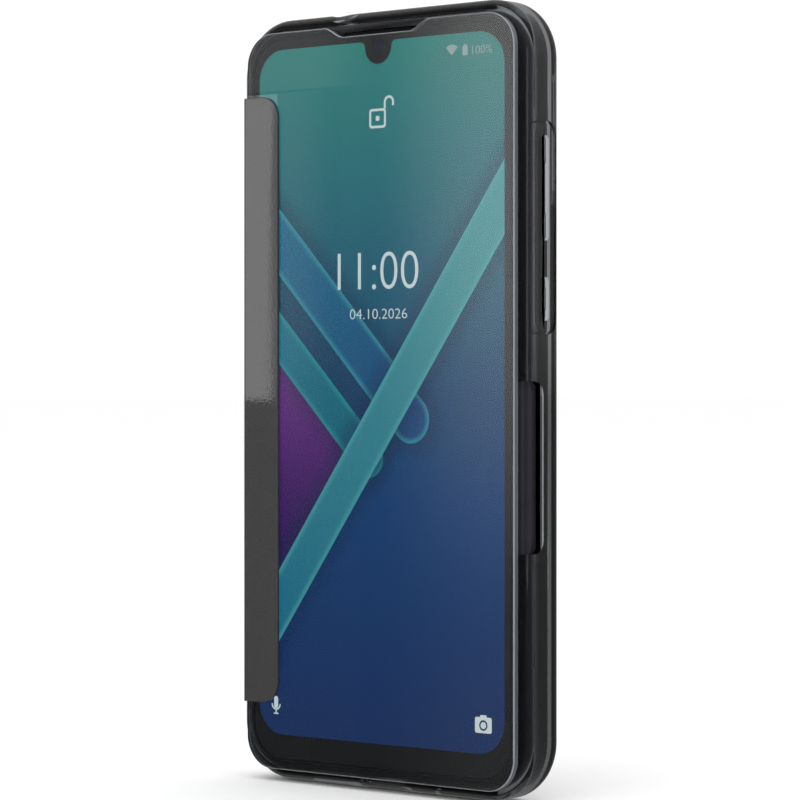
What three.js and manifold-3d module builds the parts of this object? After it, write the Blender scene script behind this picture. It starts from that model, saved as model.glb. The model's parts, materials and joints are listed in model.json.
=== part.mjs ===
// A touch-screen handset in a smoke-clear folio case with a see-through front cover.
// Millimetres. +X is to the right seen from the front, +Y goes to the back, +Z is up.
// Inside the device group Y = 0 is the front of the cover glass and Z = 0 the bottom of the case.
// The device group then centres the closed object on X and Y.

import * as THREE from 'three';
import { mergeVertices } from 'three/addons/utils/BufferGeometryUtils.js';
import Module from 'manifold-3d';

const wasm = await Module();
wasm.setup();

// ---------------------------------------------------------------- driving dimensions

// Handset body
const PHONE_WIDTH = 73.5;
const PHONE_HEIGHT = 153.2;
const PHONE_THICKNESS = 8.6;
const PHONE_CORNER_R = 10.2;
const PHONE_FRONT_EDGE_R = 2.6;
const PHONE_REAR_EDGE_R = 2.6;
const PARTING_Y = 3.6;
const PARTING_GAP = 0.05;

// Screen stack
const GLASS_INSET = 2.85;
const GLASS_THICKNESS = 0.8;
const LCD_INSET = 3.65;
const LCD_THICKNESS = 0.8;
const BACKLIGHT_THICKNESS = 0.7;
const SCREEN_CLEARANCE = 0.1;
const MID_PLATE_THICKNESS = 0.65;
const CAMERA_NOTCH_WIDTH = 7.2;
const CAMERA_NOTCH_DEPTH = 4.8;

// Shell walls of the handset
const FRAME_WALL = 1.4;
const COVER_WALL = 1.2;
const COVER_BACK = 1.0;

// Case
const SHELL_WALL = 1.5;
const SHELL_FIT = 0.1;
const SHELL_FRONT_EDGE_R = 3.5;
const SHELL_REAR_EDGE_R = 3.0;
const SHELL_LIP_RISE = 0.45;
const SHELL_LIP_WIDTH = 0.55;
const SCOOP_DEPTH = 0.55;
const SCOOP_WIDTH = 6.6;
const SCOOP_END_MARGIN = 3.0;
const THUMB_CUT_LENGTH = 33.4;
const THUMB_CUT_BELOW_POWER = 12.0;
const THUMB_CUT_REAR_Y = 4.15;
const THUMB_CUT_R = 2.8;

// See-through front cover
const WINDOW_GAP = 0.15;
const WINDOW_THICKNESS = 1.4;
const WINDOW_INSET = { left: 3.55, right: 2.5, top: 3.0, bottom: 2.36 };
const WINDOW_CORNER_R = 6.7;
const WINDOW_NOTCH = { mouthLeft: -12.6, mouthRight: 13.65, footLeft: -9.0, footRight: 9.9, depth: 2.1 };

// Leather-look strip that folds round the left side
const STRIP_THICKNESS = 0.5;
const STRIP_WIDTH = 9.1;
const STRIP_CORNER_R = 4.5;
const STRIP_TOP_MARGIN = 13.0;
const STRIP_BOTTOM_MARGIN = 13.5;
const SPINE_THICKNESS = 0.9;
const SPINE_GAP = 0.3;
const SPINE_FRONT_Y = 3.0;
const SPINE_REAR_MARGIN = 2.6;
const REAR_STRIP_THICKNESS = 0.6;
const REAR_STRIP_WIDTH = 9.8;
const REAR_STRIP_INSET = 2.0;

// Side keys, measured down from the top of the handset
const VOLUME_TOP_DROP = 25.45;
const VOLUME_LENGTH = 20.0;
const POWER_GAP = 7.5;
const POWER_LENGTH = 8.0;
const KEY_WIDTH = 1.5;
const KEY_PROUD = 0.65;
const KEY_CLEARANCE = 0.15;
const KEY_FLANGE = 0.45;
const KEY_FLANGE_THICKNESS = 0.5;
const KEY_TRAVEL = 0.35;
const KEY_SLOT_SPARE = 0.35;
const KEY_BEHIND_PORTS = 0.1;
const KEY_FLEX_THICKNESS = 0.2;
const DOME_HEIGHT = 0.45;
const DOME_R = 0.85;
const KEY_RIB_THICKNESS = 0.75;

// Openings at the top and the bottom
const JACK_X = -12.0;
const JACK_BORE_R = 1.8;
const JACK_BODY_WIDTH = 6.0;
const JACK_BODY_LENGTH = 12.9;
const JACK_SHELL_HOLE_R = 4.1;
const USB_WIDTH = 8.9;
const USB_HEIGHT = 3.2;
const USB_LENGTH = 7.4;
const USB_WALL = 0.3;
const USB_TONGUE_WIDTH = 6.6;
const USB_TONGUE_THICKNESS = 0.7;
const USB_SHELL_WIDTH = 13.0;
const USB_SHELL_HEIGHT = 7.0;
const SPEAKER_CORNER_GAP = 4.55;
const SPEAKER_USB_GAP = 1.1;
const SPEAKER_SHELL_HEIGHT = 4.0;
const SPEAKER_HOLE_COUNT = 6;
const SPEAKER_HOLE_R = 0.55;
const MIC_X = 12.0;
const MIC_HOLE_R = 0.5;
const MIC_SHELL_HOLE_R = 1.0;
const PORT_CLEARANCE = 0.2;

// Earpiece and front camera
const EARPIECE_MESH = { width: 18.6, height: 1.0, drop: 2.5, thickness: 0.35 };
const FRONT_CAMERA_DROP = 5.8;
const FRONT_CAMERA_R = 1.7;
const FRONT_CAMERA_BODY = 6.4;

// Rear camera block, at the upper right seen from the front
const CAMERA_SIDE_INSET = 12.75;
const CAMERA_TOP_DROP = 10.3;
const CAMERA_WINDOW_WIDTH = 11.0;
const CAMERA_WINDOW_LENGTH = 30.0;
const CAMERA_WINDOW_SPARE = 1.3;
const CAMERA_BEZEL_CLEARANCE = 0.1;
const CAMERA_BEZEL_RISE = 0.7;
const CAMERA_GLASS_RIM = 0.7;
const CAMERA_GLASS_THICKNESS = 0.5;
const MAIN_CAMERA = { drop: 6.2, body: 9.2, barrelR: 3.4 };
const SECOND_CAMERA = { drop: 16.6, body: 7.4, barrelR: 2.6 };
const FLASH = { drop: 24.6, r: 1.8 };

// Boards, battery and what sits on them
const BOARD_Y = 4.0;
const BOARD_THICKNESS = 0.8;
const BOARD_EDGE_GAP = 0.9;
const MAIN_BOARD_LENGTH = 44.0;
const SUB_BOARD_LENGTH = 22.0;
const BATTERY_GAP = 2.2;
const BATTERY_SIDE_GAP = 1.1;
const BATTERY_REAR_GAP = 0.35;
const BATTERY_FRONT_GAP = 0.1;
const HOUSING_THICKNESS = 1.0;
const HOUSING_REAR_GAP = 0.2;
const CAN_REAR_GAP = 0.3;
const CAN_SPACING = 1.0;
const CAN_EDGE_GAP = 2.0;
const SIM_HOLDER_WIDTH = 13.6;
const CARD_HOLDER_WIDTH = 12.4;
const CARD_HOLDER_LENGTH = 15.0;
const RADIO_SHIELD_LENGTH = 13.0;
const PROCESSOR_SHIELD_LEFT = 4.2;
const PROCESSOR_SHIELD_LENGTH = 27.0;
const MIC_CAN_WIDTH = 3.6;
const MIC_CAN_LENGTH = 3.0;
const MOTOR_R = 5.0;
const MOTOR_SIDE_INSET = 14.2;
const MOTOR_RISE = 11.2;
const MOTOR_REAR_GAP = 0.6;
const SPEAKER_LENGTH = 11.0;
const EARPIECE_WIDTH = 11.0;
const EARPIECE_HEIGHT = 5.6;
const EARPIECE_CAMERA_GAP = 1.0;
const FLEX_THICKNESS = 0.15;
const MAIN_FLEX_WIDTH = 2.0;
const DISPLAY_FLEX_WIDTH = 16.0;
const PART_CLEARANCE = 0.3;
const BOSS_R = 1.6;
const BOSS_FOOT_R = 2.3;
const SCREW_SHANK_R = 0.45;
const SCREW_HEAD_R = 1.2;
const SCREW_HEAD_HEIGHT = 0.5;
const SCREW_CLEARANCE = 0.12;
const NAIL_NOTCH = { bottomRise: 8.0, length: 9.1, height: 0.5, depth: 0.8 };

// Mesh fineness
const CORNER_SEGMENTS = 6;
const EDGE_SEGMENTS = 3;
const ROUND_SEGMENTS = 16;
const SMALL_ROUND_SEGMENTS = 8;
const SPARE = 2.0;

// ---------------------------------------------------------------- derived places

const phone = {
  halfWidth: PHONE_WIDTH / 2,
  bottom: SHELL_WALL + SHELL_FIT,
  top: SHELL_WALL + SHELL_FIT + PHONE_HEIGHT,
  back: PHONE_THICKNESS,
};
phone.midZ = (phone.bottom + phone.top) / 2;

const shell = {
  halfWidth: phone.halfWidth + SHELL_FIT + SHELL_WALL,
  height: PHONE_HEIGHT + 2 * (SHELL_FIT + SHELL_WALL),
  cornerR: PHONE_CORNER_R + SHELL_FIT + SHELL_WALL,
  front: -SHELL_LIP_RISE,
  back: phone.back + SHELL_FIT + SHELL_WALL,
};

const windowPlate = {
  left: -shell.halfWidth + WINDOW_INSET.left,
  right: shell.halfWidth - WINDOW_INSET.right,
  bottom: WINDOW_INSET.bottom,
  top: shell.height - WINDOW_INSET.top,
  rear: shell.front - WINDOW_GAP,
  front: shell.front - WINDOW_GAP - WINDOW_THICKNESS,
};

const strip = {
  front: windowPlate.front - STRIP_THICKNESS,
  bottom: windowPlate.bottom + STRIP_BOTTOM_MARGIN,
  top: windowPlate.top - STRIP_TOP_MARGIN,
};
strip.length = strip.top - strip.bottom;
strip.midZ = (strip.top + strip.bottom) / 2;

const spine = {
  inner: -shell.halfWidth - SPINE_GAP,
  outer: -shell.halfWidth - SPINE_GAP - SPINE_THICKNESS,
  rear: shell.back - SPINE_REAR_MARGIN,
};

// The screen stack goes back from the glass, then the mid plate, then the room behind it.
const lcdY = GLASS_THICKNESS;
const backlightY = lcdY + LCD_THICKNESS;
const pocketFloorY = backlightY + BACKLIGHT_THICKNESS + SCREEN_CLEARANCE / 2;
const roomFrontY = pocketFloorY + MID_PLATE_THICKNESS;
const roomBackY = phone.back - COVER_BACK;
const portY = (roomFrontY + roomBackY) / 2;
const keyY = portY + KEY_BEHIND_PORTS;
const housingRearY = roomBackY - HOUSING_REAR_GAP;
const housingFrontY = housingRearY - HOUSING_THICKNESS;
const boardRearY = BOARD_Y + BOARD_THICKNESS;

const roomHalfWidth = phone.halfWidth - FRAME_WALL;
const roomBottom = phone.bottom + FRAME_WALL;
const roomTop = phone.top - FRAME_WALL;

const mainBoard = {
  top: roomTop - BOARD_EDGE_GAP,
  bottom: roomTop - BOARD_EDGE_GAP - MAIN_BOARD_LENGTH,
};
const subBoard = {
  bottom: roomBottom + BOARD_EDGE_GAP,
  top: roomBottom + BOARD_EDGE_GAP + SUB_BOARD_LENGTH,
};
const boardHalfWidth = roomHalfWidth - BOARD_EDGE_GAP;

const volumeKey = { top: phone.top - VOLUME_TOP_DROP, length: VOLUME_LENGTH };
const powerKey = { top: volumeKey.top - VOLUME_LENGTH - POWER_GAP, length: POWER_LENGTH };
for (const key of [volumeKey, powerKey]) {
  key.bottom = key.top - key.length;
  key.midZ = (key.top + key.bottom) / 2;
}
const keyFace = phone.halfWidth + KEY_PROUD;
const keyFlangeOuter = phone.halfWidth - COVER_WALL - KEY_TRAVEL - KEY_CLEARANCE;
const keyFlangeInner = keyFlangeOuter - KEY_FLANGE_THICKNESS;
const domeTopX = keyFlangeInner - KEY_TRAVEL;
const keyFlexX = domeTopX - DOME_HEIGHT;
const keyRibX = keyFlexX - KEY_FLEX_THICKNESS - KEY_RIB_THICKNESS;

const cameraBlock = {
  x: phone.halfWidth - CAMERA_SIDE_INSET,
  top: phone.top - CAMERA_TOP_DROP,
  midZ: phone.top - CAMERA_TOP_DROP - CAMERA_WINDOW_LENGTH / 2,
};
const cameraBezelRearY = phone.back + CAMERA_BEZEL_RISE;
const cameraGlassY = cameraBezelRearY - CAMERA_GLASS_THICKNESS - CAMERA_BEZEL_CLEARANCE;
const cameraBarrelY = cameraGlassY - PART_CLEARANCE;

const speakerSlot = {
  left: -phone.halfWidth + PHONE_CORNER_R + SPEAKER_CORNER_GAP,
  right: -USB_SHELL_WIDTH / 2 - SPEAKER_USB_GAP,
};
speakerSlot.midX = (speakerSlot.left + speakerSlot.right) / 2;
speakerSlot.width = speakerSlot.right - speakerSlot.left;

const frontCameraZ = phone.top - FRONT_CAMERA_DROP;
const jackTop = phone.top - COVER_WALL - (PHONE_REAR_EDGE_R - COVER_BACK);
const usbBottom = phone.bottom + PART_CLEARANCE;
const meshTop = phone.top - EARPIECE_MESH.drop;
const meshBottom = meshTop - EARPIECE_MESH.height;

// Screw posts, each as a place measured from the nearest edges of the room inside the handset
const SCREW_POSTS = [
  { x: -roomHalfWidth + 5.4, z: roomTop - 4.4 },
  { x: roomHalfWidth - 4.6, z: roomTop - 5.0 },
  { x: -5.5, z: mainBoard.bottom + 24.0 },
  { x: roomHalfWidth - 5.6, z: mainBoard.bottom + 3.0 },
  { x: -roomHalfWidth + 5.0, z: roomBottom + 6.5 },
  { x: roomHalfWidth - 5.0, z: roomBottom + 6.5 },
  { x: -roomHalfWidth + 6.4, z: subBoard.top - 3.2 },
  { x: 9.0, z: subBoard.top - 4.5 },
];

// ---------------------------------------------------------------- shape and solid helpers

/** A rectangle with round corners, given by its four sides. */
function roundedRect(left, right, bottom, top, radius) {
  const r = Math.min(radius, (right - left) / 2, (top - bottom) / 2);
  const shape = new THREE.Shape();
  shape.moveTo(left + r, bottom);
  shape.absarc(right - r, bottom + r, r, -Math.PI / 2, 0, false);
  shape.absarc(right - r, top - r, r, 0, Math.PI / 2, false);
  shape.absarc(left + r, top - r, r, Math.PI / 2, Math.PI, false);
  shape.absarc(left + r, bottom + r, r, Math.PI, 1.5 * Math.PI, false);
  return shape;
}

/** A slot with two round ends, centred at (u, v), wide along u and tall along v. */
function slot(u, v, wide, tall) {
  const r = Math.min(wide, tall) / 2;
  return roundedRect(u - wide / 2, u + wide / 2, v - tall / 2, v + tall / 2, r);
}

/** The handset's outline seen from the front, drawn in by a margin. */
function phoneOutline(margin) {
  const w = phone.halfWidth - margin;
  const r = Math.max(PHONE_CORNER_R - margin, 1);
  return roundedRect(-w, w, phone.bottom + margin, phone.top - margin, r);
}

/** A three.js geometry as a manifold solid. */
function solid(geometry) {
  geometry.deleteAttribute('normal');
  geometry.deleteAttribute('uv');
  const merged = mergeVertices(geometry);
  return new wasm.Manifold(new wasm.Mesh({
    numProp: 3,
    vertProperties: merged.attributes.position.array,
    triVerts: merged.index.array,
  }));
}

// Each basis turns the drawing plane and the way it is extruded into the object's axes.
const axisX = new THREE.Vector3(1, 0, 0);
const axisY = new THREE.Vector3(0, 1, 0);
const axisZ = new THREE.Vector3(0, 0, 1);
const FACING_BACK = new THREE.Matrix4().makeBasis(axisX, axisZ, axisY.clone().negate());
const FACING_RIGHT = new THREE.Matrix4().makeBasis(axisY, axisZ, axisX);

/** A shape drawn in X and Z, as a slab from y0 back to y1. */
function slabY(shape, y0, y1, curveSegments = CORNER_SEGMENTS) {
  const geometry = new THREE.ExtrudeGeometry(shape, { depth: y1 - y0, bevelEnabled: false, curveSegments });
  geometry.applyMatrix4(FACING_BACK);
  geometry.translate(0, y1, 0);
  return solid(geometry);
}

/** A shape drawn in Y and Z, as a slab from x0 to x1. */
function slabX(shape, x0, x1, curveSegments = CORNER_SEGMENTS) {
  const geometry = new THREE.ExtrudeGeometry(shape, { depth: x1 - x0, bevelEnabled: false, curveSegments });
  geometry.applyMatrix4(FACING_RIGHT);
  geometry.translate(x0, 0, 0);
  return solid(geometry);
}

/** A shape drawn in X and Y, as a slab from z0 up to z1. */
function slabZ(shape, z0, z1, curveSegments = CORNER_SEGMENTS) {
  const geometry = new THREE.ExtrudeGeometry(shape, { depth: z1 - z0, bevelEnabled: false, curveSegments });
  geometry.translate(0, 0, z0);
  return solid(geometry);
}

/** A slab from y0 to y1 whose two rims are rounded by the same radius. */
function softSlab(shape, y0, y1, radius) {
  const geometry = new THREE.ExtrudeGeometry(shape, {
    depth: y1 - y0 - 2 * radius,
    bevelThickness: radius,
    bevelSize: radius,
    bevelOffset: -radius,
    bevelSegments: EDGE_SEGMENTS,
    curveSegments: CORNER_SEGMENTS,
  });
  geometry.applyMatrix4(FACING_BACK);
  geometry.translate(0, y1 - radius, 0);
  return solid(geometry);
}

/** A slab from y0 to y1 with one radius on its front rim and another on its rear rim. */
function shellSlab(shape, y0, y1, frontRadius, rearRadius) {
  const front = softSlab(shape, y0, y1 + rearRadius + frontRadius + SPARE, frontRadius);
  const rear = softSlab(shape, y0 - rearRadius - frontRadius - SPARE, y1, rearRadius);
  return front.intersect(rear);
}

function box(x0, x1, y0, y1, z0, z1) {
  const geometry = new THREE.BoxGeometry(x1 - x0, y1 - y0, z1 - z0);
  geometry.translate((x0 + x1) / 2, (y0 + y1) / 2, (z0 + z1) / 2);
  return solid(geometry);
}

/** A round bar along Y. */
function barY(x, z, radius, y0, y1, segments = ROUND_SEGMENTS) {
  const geometry = new THREE.CylinderGeometry(radius, radius, y1 - y0, segments);
  geometry.translate(x, (y0 + y1) / 2, z);
  return solid(geometry);
}

/** A round bar along Z. */
function barZ(x, y, radius, z0, z1, segments = ROUND_SEGMENTS) {
  const geometry = new THREE.CylinderGeometry(radius, radius, z1 - z0, segments);
  geometry.rotateX(Math.PI / 2);
  geometry.translate(x, y, (z0 + z1) / 2);
  return solid(geometry);
}

const cut = (body, ...tools) => tools.reduce((rest, tool) => rest.subtract(tool), body);
const join = (body, ...others) => others.reduce((sum, other) => sum.add(other), body);

// ---------------------------------------------------------------- materials

function finish(colour, roughness, metalness = 0, extra = {}) {
  return new THREE.MeshStandardMaterial({ color: colour, roughness, metalness, ...extra });
}

const finishes = {
  smokeShell: finish(0x2a2c2e, 0.12, 0, { transparent: true, opacity: 0.6 }),
  smokeWindow: finish(0x8d9496, 0.06, 0, { transparent: true, opacity: 0.25 }),
  leather: finish(0x5d5d5f, 0.6),
  glass: finish(0x111416, 0.05),
  screen: finish(0x1c6f86, 0.25),
  blackPlastic: finish(0x17181a, 0.45),
  darkSide: finish(0x2b2b2f, 0.35, 0.3),
  keyMetal: finish(0x77787c, 0.3, 0.8),
  board: finish(0x14412d, 0.55),
  can: finish(0xb9bcc0, 0.35, 0.9),
  steel: finish(0x9a9da1, 0.3, 1),
  battery: finish(0x33363a, 0.5),
  flex: finish(0x8a5a22, 0.5),
  lens: finish(0x0b0d14, 0.05),
  pale: finish(0xe9e6da, 0.4),
  mesh: finish(0x101112, 0.6, 0.4),
};

const device = new THREE.Group();

/** Adds one solid to the device as a named mesh. */
function addPart(name, body, material) {
  const mesh = body.getMesh();
  const geometry = new THREE.BufferGeometry();
  geometry.setAttribute('position', new THREE.BufferAttribute(mesh.vertProperties, 3));
  geometry.setIndex(new THREE.BufferAttribute(mesh.triVerts, 1));
  geometry.computeVertexNormals();
  const part = new THREE.Mesh(geometry, material);
  part.name = name;
  device.add(part);
}

// ---------------------------------------------------------------- the case

/** The scoop pressed into the shell's right side round both keys. */
function keyScoop() {
  const top = volumeKey.top + SCOOP_END_MARGIN;
  const bottom = powerKey.bottom - SCOOP_END_MARGIN;
  const outline = slot(keyY - KEY_SLOT_SPARE, (top + bottom) / 2, SCOOP_WIDTH, top - bottom);
  return slabX(outline, shell.halfWidth - SCOOP_DEPTH, shell.halfWidth + SPARE);
}

function keySlot(key, clearance, x0, x1) {
  const outline = slot(keyY, key.midZ, KEY_WIDTH + 2 * clearance, key.length + 2 * clearance);
  return slabX(outline, x0, x1);
}

function thumbCut() {
  const top = powerKey.bottom - THUMB_CUT_BELOW_POWER;
  const front = shell.front - THUMB_CUT_R - SPARE;
  const outline = roundedRect(front, THUMB_CUT_REAR_Y, top - THUMB_CUT_LENGTH, top, THUMB_CUT_R);
  return slabX(outline, phone.halfWidth - PHONE_FRONT_EDGE_R - SPARE, shell.halfWidth + SPARE);
}

function backShell() {
  const outer = roundedRect(-shell.halfWidth, shell.halfWidth, 0, shell.height, shell.cornerR);
  const body = shellSlab(outer, shell.front, shell.back, SHELL_FRONT_EDGE_R, SHELL_REAR_EDGE_R);
  const cavity = shellSlab(
    phoneOutline(-SHELL_FIT),
    -SHELL_FIT,
    phone.back + SHELL_FIT,
    PHONE_FRONT_EDGE_R + SHELL_FIT,
    PHONE_REAR_EDGE_R + SHELL_FIT,
  );
  const mouthInset = SHELL_FRONT_EDGE_R + SHELL_LIP_WIDTH - SHELL_FIT - SHELL_WALL;
  const mouth = slabY(phoneOutline(mouthInset), shell.front - SPARE, SHELL_LIP_RISE);
  const below = -SPARE;
  const usbOpening = slabZ(slot(0, portY, USB_SHELL_WIDTH, USB_SHELL_HEIGHT), below, phone.bottom);
  const speakerOpening = slabZ(
    slot(speakerSlot.midX, portY, speakerSlot.width, SPEAKER_SHELL_HEIGHT), below, phone.bottom);
  const cameraOpening = slabY(
    slot(cameraBlock.x, cameraBlock.midZ, CAMERA_WINDOW_WIDTH + 2 * CAMERA_WINDOW_SPARE,
      CAMERA_WINDOW_LENGTH + 2 * CAMERA_WINDOW_SPARE),
    phone.back, shell.back + SPARE);
  const slotInner = phone.halfWidth - SHELL_FIT;
  const slotOuter = shell.halfWidth + SPARE;
  return cut(
    body,
    cavity,
    mouth,
    keyScoop(),
    keySlot(volumeKey, KEY_SLOT_SPARE, slotInner, slotOuter),
    keySlot(powerKey, KEY_SLOT_SPARE, slotInner, slotOuter),
    thumbCut(),
    barZ(JACK_X, portY, JACK_SHELL_HOLE_R, phone.top, shell.height + SPARE),
    usbOpening,
    speakerOpening,
    barZ(MIC_X, portY, MIC_SHELL_HOLE_R, below, phone.bottom, SMALL_ROUND_SEGMENTS),
    cameraOpening,
  );
}

function frontWindow() {
  const plate = roundedRect(
    windowPlate.left, windowPlate.right, windowPlate.bottom, windowPlate.top, WINDOW_CORNER_R);
  const notch = new THREE.Shape();
  const foot = windowPlate.top - WINDOW_NOTCH.depth;
  const flareLeft = (WINDOW_NOTCH.footLeft - WINDOW_NOTCH.mouthLeft) / WINDOW_NOTCH.depth;
  const flareRight = (WINDOW_NOTCH.mouthRight - WINDOW_NOTCH.footRight) / WINDOW_NOTCH.depth;
  notch.moveTo(WINDOW_NOTCH.footLeft, foot);
  notch.lineTo(WINDOW_NOTCH.footRight, foot);
  notch.lineTo(WINDOW_NOTCH.mouthRight + flareRight * SPARE, windowPlate.top + SPARE);
  notch.lineTo(WINDOW_NOTCH.mouthLeft - flareLeft * SPARE, windowPlate.top + SPARE);
  notch.closePath();
  return cut(
    slabY(plate, windowPlate.front, windowPlate.rear),
    slabY(notch, windowPlate.front - SPARE, windowPlate.rear + SPARE),
  );
}

/** The front run of the strip, square at the fold and round at its free corners. */
function coverStrip() {
  const right = windowPlate.left + STRIP_WIDTH;
  const outline = roundedRect(windowPlate.left - STRIP_WIDTH, right, strip.bottom, strip.top, STRIP_CORNER_R);
  const foldSide = box(windowPlate.left - 2 * STRIP_WIDTH, windowPlate.left,
    strip.front - SPARE, windowPlate.front + SPARE, strip.bottom - SPARE, strip.top + SPARE);
  return cut(slabY(outline, strip.front, windowPlate.front), foldSide);
}

/** The run of the strip that is bonded to the shell's back. */
function rearStrip() {
  const left = -shell.halfWidth + REAR_STRIP_INSET;
  const right = left + REAR_STRIP_WIDTH;
  const outline = roundedRect(left - REAR_STRIP_WIDTH, right, strip.bottom, strip.top, STRIP_CORNER_R);
  const rear = shell.back + REAR_STRIP_THICKNESS;
  const foldSide = box(left - 2 * REAR_STRIP_WIDTH, left,
    shell.back - SPARE, rear + SPARE, strip.bottom - SPARE, strip.top + SPARE);
  return cut(slabY(outline, shell.back, rear), foldSide);
}

addPart('back_shell', backShell(), finishes.smokeShell);
addPart('front_window', frontWindow(), finishes.smokeWindow);
addPart('cover_strip', coverStrip(), finishes.leather);
addPart('spine_panel', box(spine.outer, spine.inner, SPINE_FRONT_Y, spine.rear, strip.bottom, strip.top),
  finishes.leather);
addPart('rear_strip', rearStrip(), finishes.leather);

// ---------------------------------------------------------------- the screen

/** The round-footed notch in the screen that leaves room for the front camera. */
function cameraNotch(y0, y1, margin) {
  const half = CAMERA_NOTCH_WIDTH / 2 + margin;
  const edge = phone.top - LCD_INSET;
  const foot = edge - CAMERA_NOTCH_DEPTH - margin;
  return slabY(roundedRect(-half, half, foot, edge + half + SPARE, half), y0, y1);
}

function coverGlass() {
  const body = slabY(phoneOutline(GLASS_INSET), 0, GLASS_THICKNESS);
  const half = EARPIECE_MESH.width / 2 + PORT_CLEARANCE;
  return cut(body, box(-half, half, -SPARE, GLASS_THICKNESS + SPARE, meshBottom - PORT_CLEARANCE, phone.top));
}

addPart('cover_glass', coverGlass(), finishes.glass);
addPart('lcd_panel',
  cut(slabY(phoneOutline(LCD_INSET), lcdY, backlightY), cameraNotch(lcdY - SPARE, backlightY + SPARE, 0)),
  finishes.screen);
addPart('backlight_unit',
  cut(slabY(phoneOutline(LCD_INSET), backlightY, backlightY + BACKLIGHT_THICKNESS),
    cameraNotch(backlightY - SPARE, pocketFloorY + SPARE, 0)),
  finishes.pale);

// ---------------------------------------------------------------- front frame

/** A post for one screw: a foot that carries the board and a taller stem under the rear housing. */
function screwPost({ x, z }) {
  return join(
    barY(x, z, BOSS_FOOT_R, roomFrontY - PART_CLEARANCE, BOARD_Y, SMALL_ROUND_SEGMENTS),
    barY(x, z, BOSS_R, BOARD_Y - PART_CLEARANCE, housingFrontY, SMALL_ROUND_SEGMENTS),
  );
}

function screwHole({ x, z }) {
  return barY(x, z, SCREW_SHANK_R + SCREW_CLEARANCE, roomFrontY + PART_CLEARANCE, housingFrontY + SPARE,
    SMALL_ROUND_SEGMENTS);
}

function keyRib() {
  return box(keyRibX, keyRibX + KEY_RIB_THICKNESS, roomFrontY - PART_CLEARANCE, housingFrontY,
    powerKey.bottom, volumeKey.top);
}

const displayFlexZ = subBoard.top + PART_CLEARANCE;

function frontFrame() {
  const reach = 2 * PHONE_FRONT_EDGE_R + SPARE;
  const body = softSlab(phoneOutline(0), 0, PARTING_Y + reach, PHONE_FRONT_EDGE_R)
    .intersect(box(-PHONE_WIDTH, PHONE_WIDTH, -SPARE, PARTING_Y, 0, shell.height));
  const glassPocket = slabY(
    phoneOutline(GLASS_INSET - SCREEN_CLEARANCE), -SPARE, GLASS_THICKNESS + SCREEN_CLEARANCE / 2);
  const screenPocket = slabY(phoneOutline(LCD_INSET - SCREEN_CLEARANCE), -SPARE, pocketFloorY);
  const room = slabY(phoneOutline(FRAME_WALL), roomFrontY, PARTING_Y + SPARE);
  const duct = box(-EARPIECE_MESH.width / 2 - PORT_CLEARANCE, EARPIECE_MESH.width / 2 + PORT_CLEARANCE,
    -SPARE, roomFrontY + SPARE, meshBottom - PORT_CLEARANCE, meshTop + PORT_CLEARANCE);
  const cameraHole = barY(0, frontCameraZ, FRONT_CAMERA_R + PORT_CLEARANCE, 0, roomFrontY + SPARE);
  const half = DISPLAY_FLEX_WIDTH / 2 + PART_CLEARANCE;
  const flexSlot = box(-half, half, 0, roomFrontY + SPARE,
    displayFlexZ - PART_CLEARANCE, displayFlexZ + FLEX_THICKNESS + PART_CLEARANCE);
  const hollow = cut(body, glassPocket, screenPocket, room, duct, cameraHole, flexSlot);
  return cut(join(hollow, ...SCREW_POSTS.map(screwPost), keyRib()), ...SCREW_POSTS.map(screwHole));
}

addPart('front_frame', frontFrame(), finishes.darkSide);
addPart('earpiece_mesh',
  box(-EARPIECE_MESH.width / 2, EARPIECE_MESH.width / 2,
    PORT_CLEARANCE, PORT_CLEARANCE + EARPIECE_MESH.thickness, meshBottom, meshTop),
  finishes.mesh);

// ---------------------------------------------------------------- back cover

function backCover() {
  const front = PARTING_Y + PARTING_GAP;
  const reach = 2 * PHONE_REAR_EDGE_R + SPARE;
  const body = softSlab(phoneOutline(0), front - reach, phone.back, PHONE_REAR_EDGE_R)
    .intersect(box(-PHONE_WIDTH, PHONE_WIDTH, front, phone.back + SPARE, 0, shell.height));
  const room = softSlab(phoneOutline(COVER_WALL), front - reach, roomBackY, PHONE_REAR_EDGE_R - COVER_BACK);
  const below = 0;
  const inside = roomBottom + FRAME_WALL;
  const usbOpening = slabZ(
    slot(0, portY, USB_WIDTH + 2 * PORT_CLEARANCE, USB_HEIGHT + 2 * PORT_CLEARANCE), below, inside);
  const holePitch = speakerSlot.width / (SPEAKER_HOLE_COUNT + 1.5);
  const speakerHoles = Array.from({ length: SPEAKER_HOLE_COUNT }, (_, i) => {
    const x = speakerSlot.midX + (i - (SPEAKER_HOLE_COUNT - 1) / 2) * holePitch;
    return barZ(x, portY, SPEAKER_HOLE_R, below, inside, SMALL_ROUND_SEGMENTS);
  });
  const notchBottom = phone.bottom + NAIL_NOTCH.bottomRise;
  const nailNotch = box(phone.halfWidth - NAIL_NOTCH.depth, phone.halfWidth + SPARE,
    front - SPARE, front + NAIL_NOTCH.height, notchBottom, notchBottom + NAIL_NOTCH.length);
  const slotInner = keyFlangeOuter;
  const slotOuter = phone.halfWidth + SPARE;
  const cameraOpening = slabY(
    slot(cameraBlock.x, cameraBlock.midZ, CAMERA_WINDOW_WIDTH, CAMERA_WINDOW_LENGTH),
    roomBackY - SPARE, phone.back + SPARE);
  return cut(
    body,
    room,
    usbOpening,
    ...speakerHoles,
    barZ(MIC_X, portY, MIC_HOLE_R, below, inside, SMALL_ROUND_SEGMENTS),
    barZ(JACK_X, portY, JACK_BORE_R + PORT_CLEARANCE, jackTop, phone.top + SPARE),
    nailNotch,
    keySlot(volumeKey, KEY_CLEARANCE, slotInner, slotOuter),
    keySlot(powerKey, KEY_CLEARANCE, slotInner, slotOuter),
    cameraOpening,
  );
}

addPart('back_cover', backCover(), finishes.darkSide);

// ---------------------------------------------------------------- side keys

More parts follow.
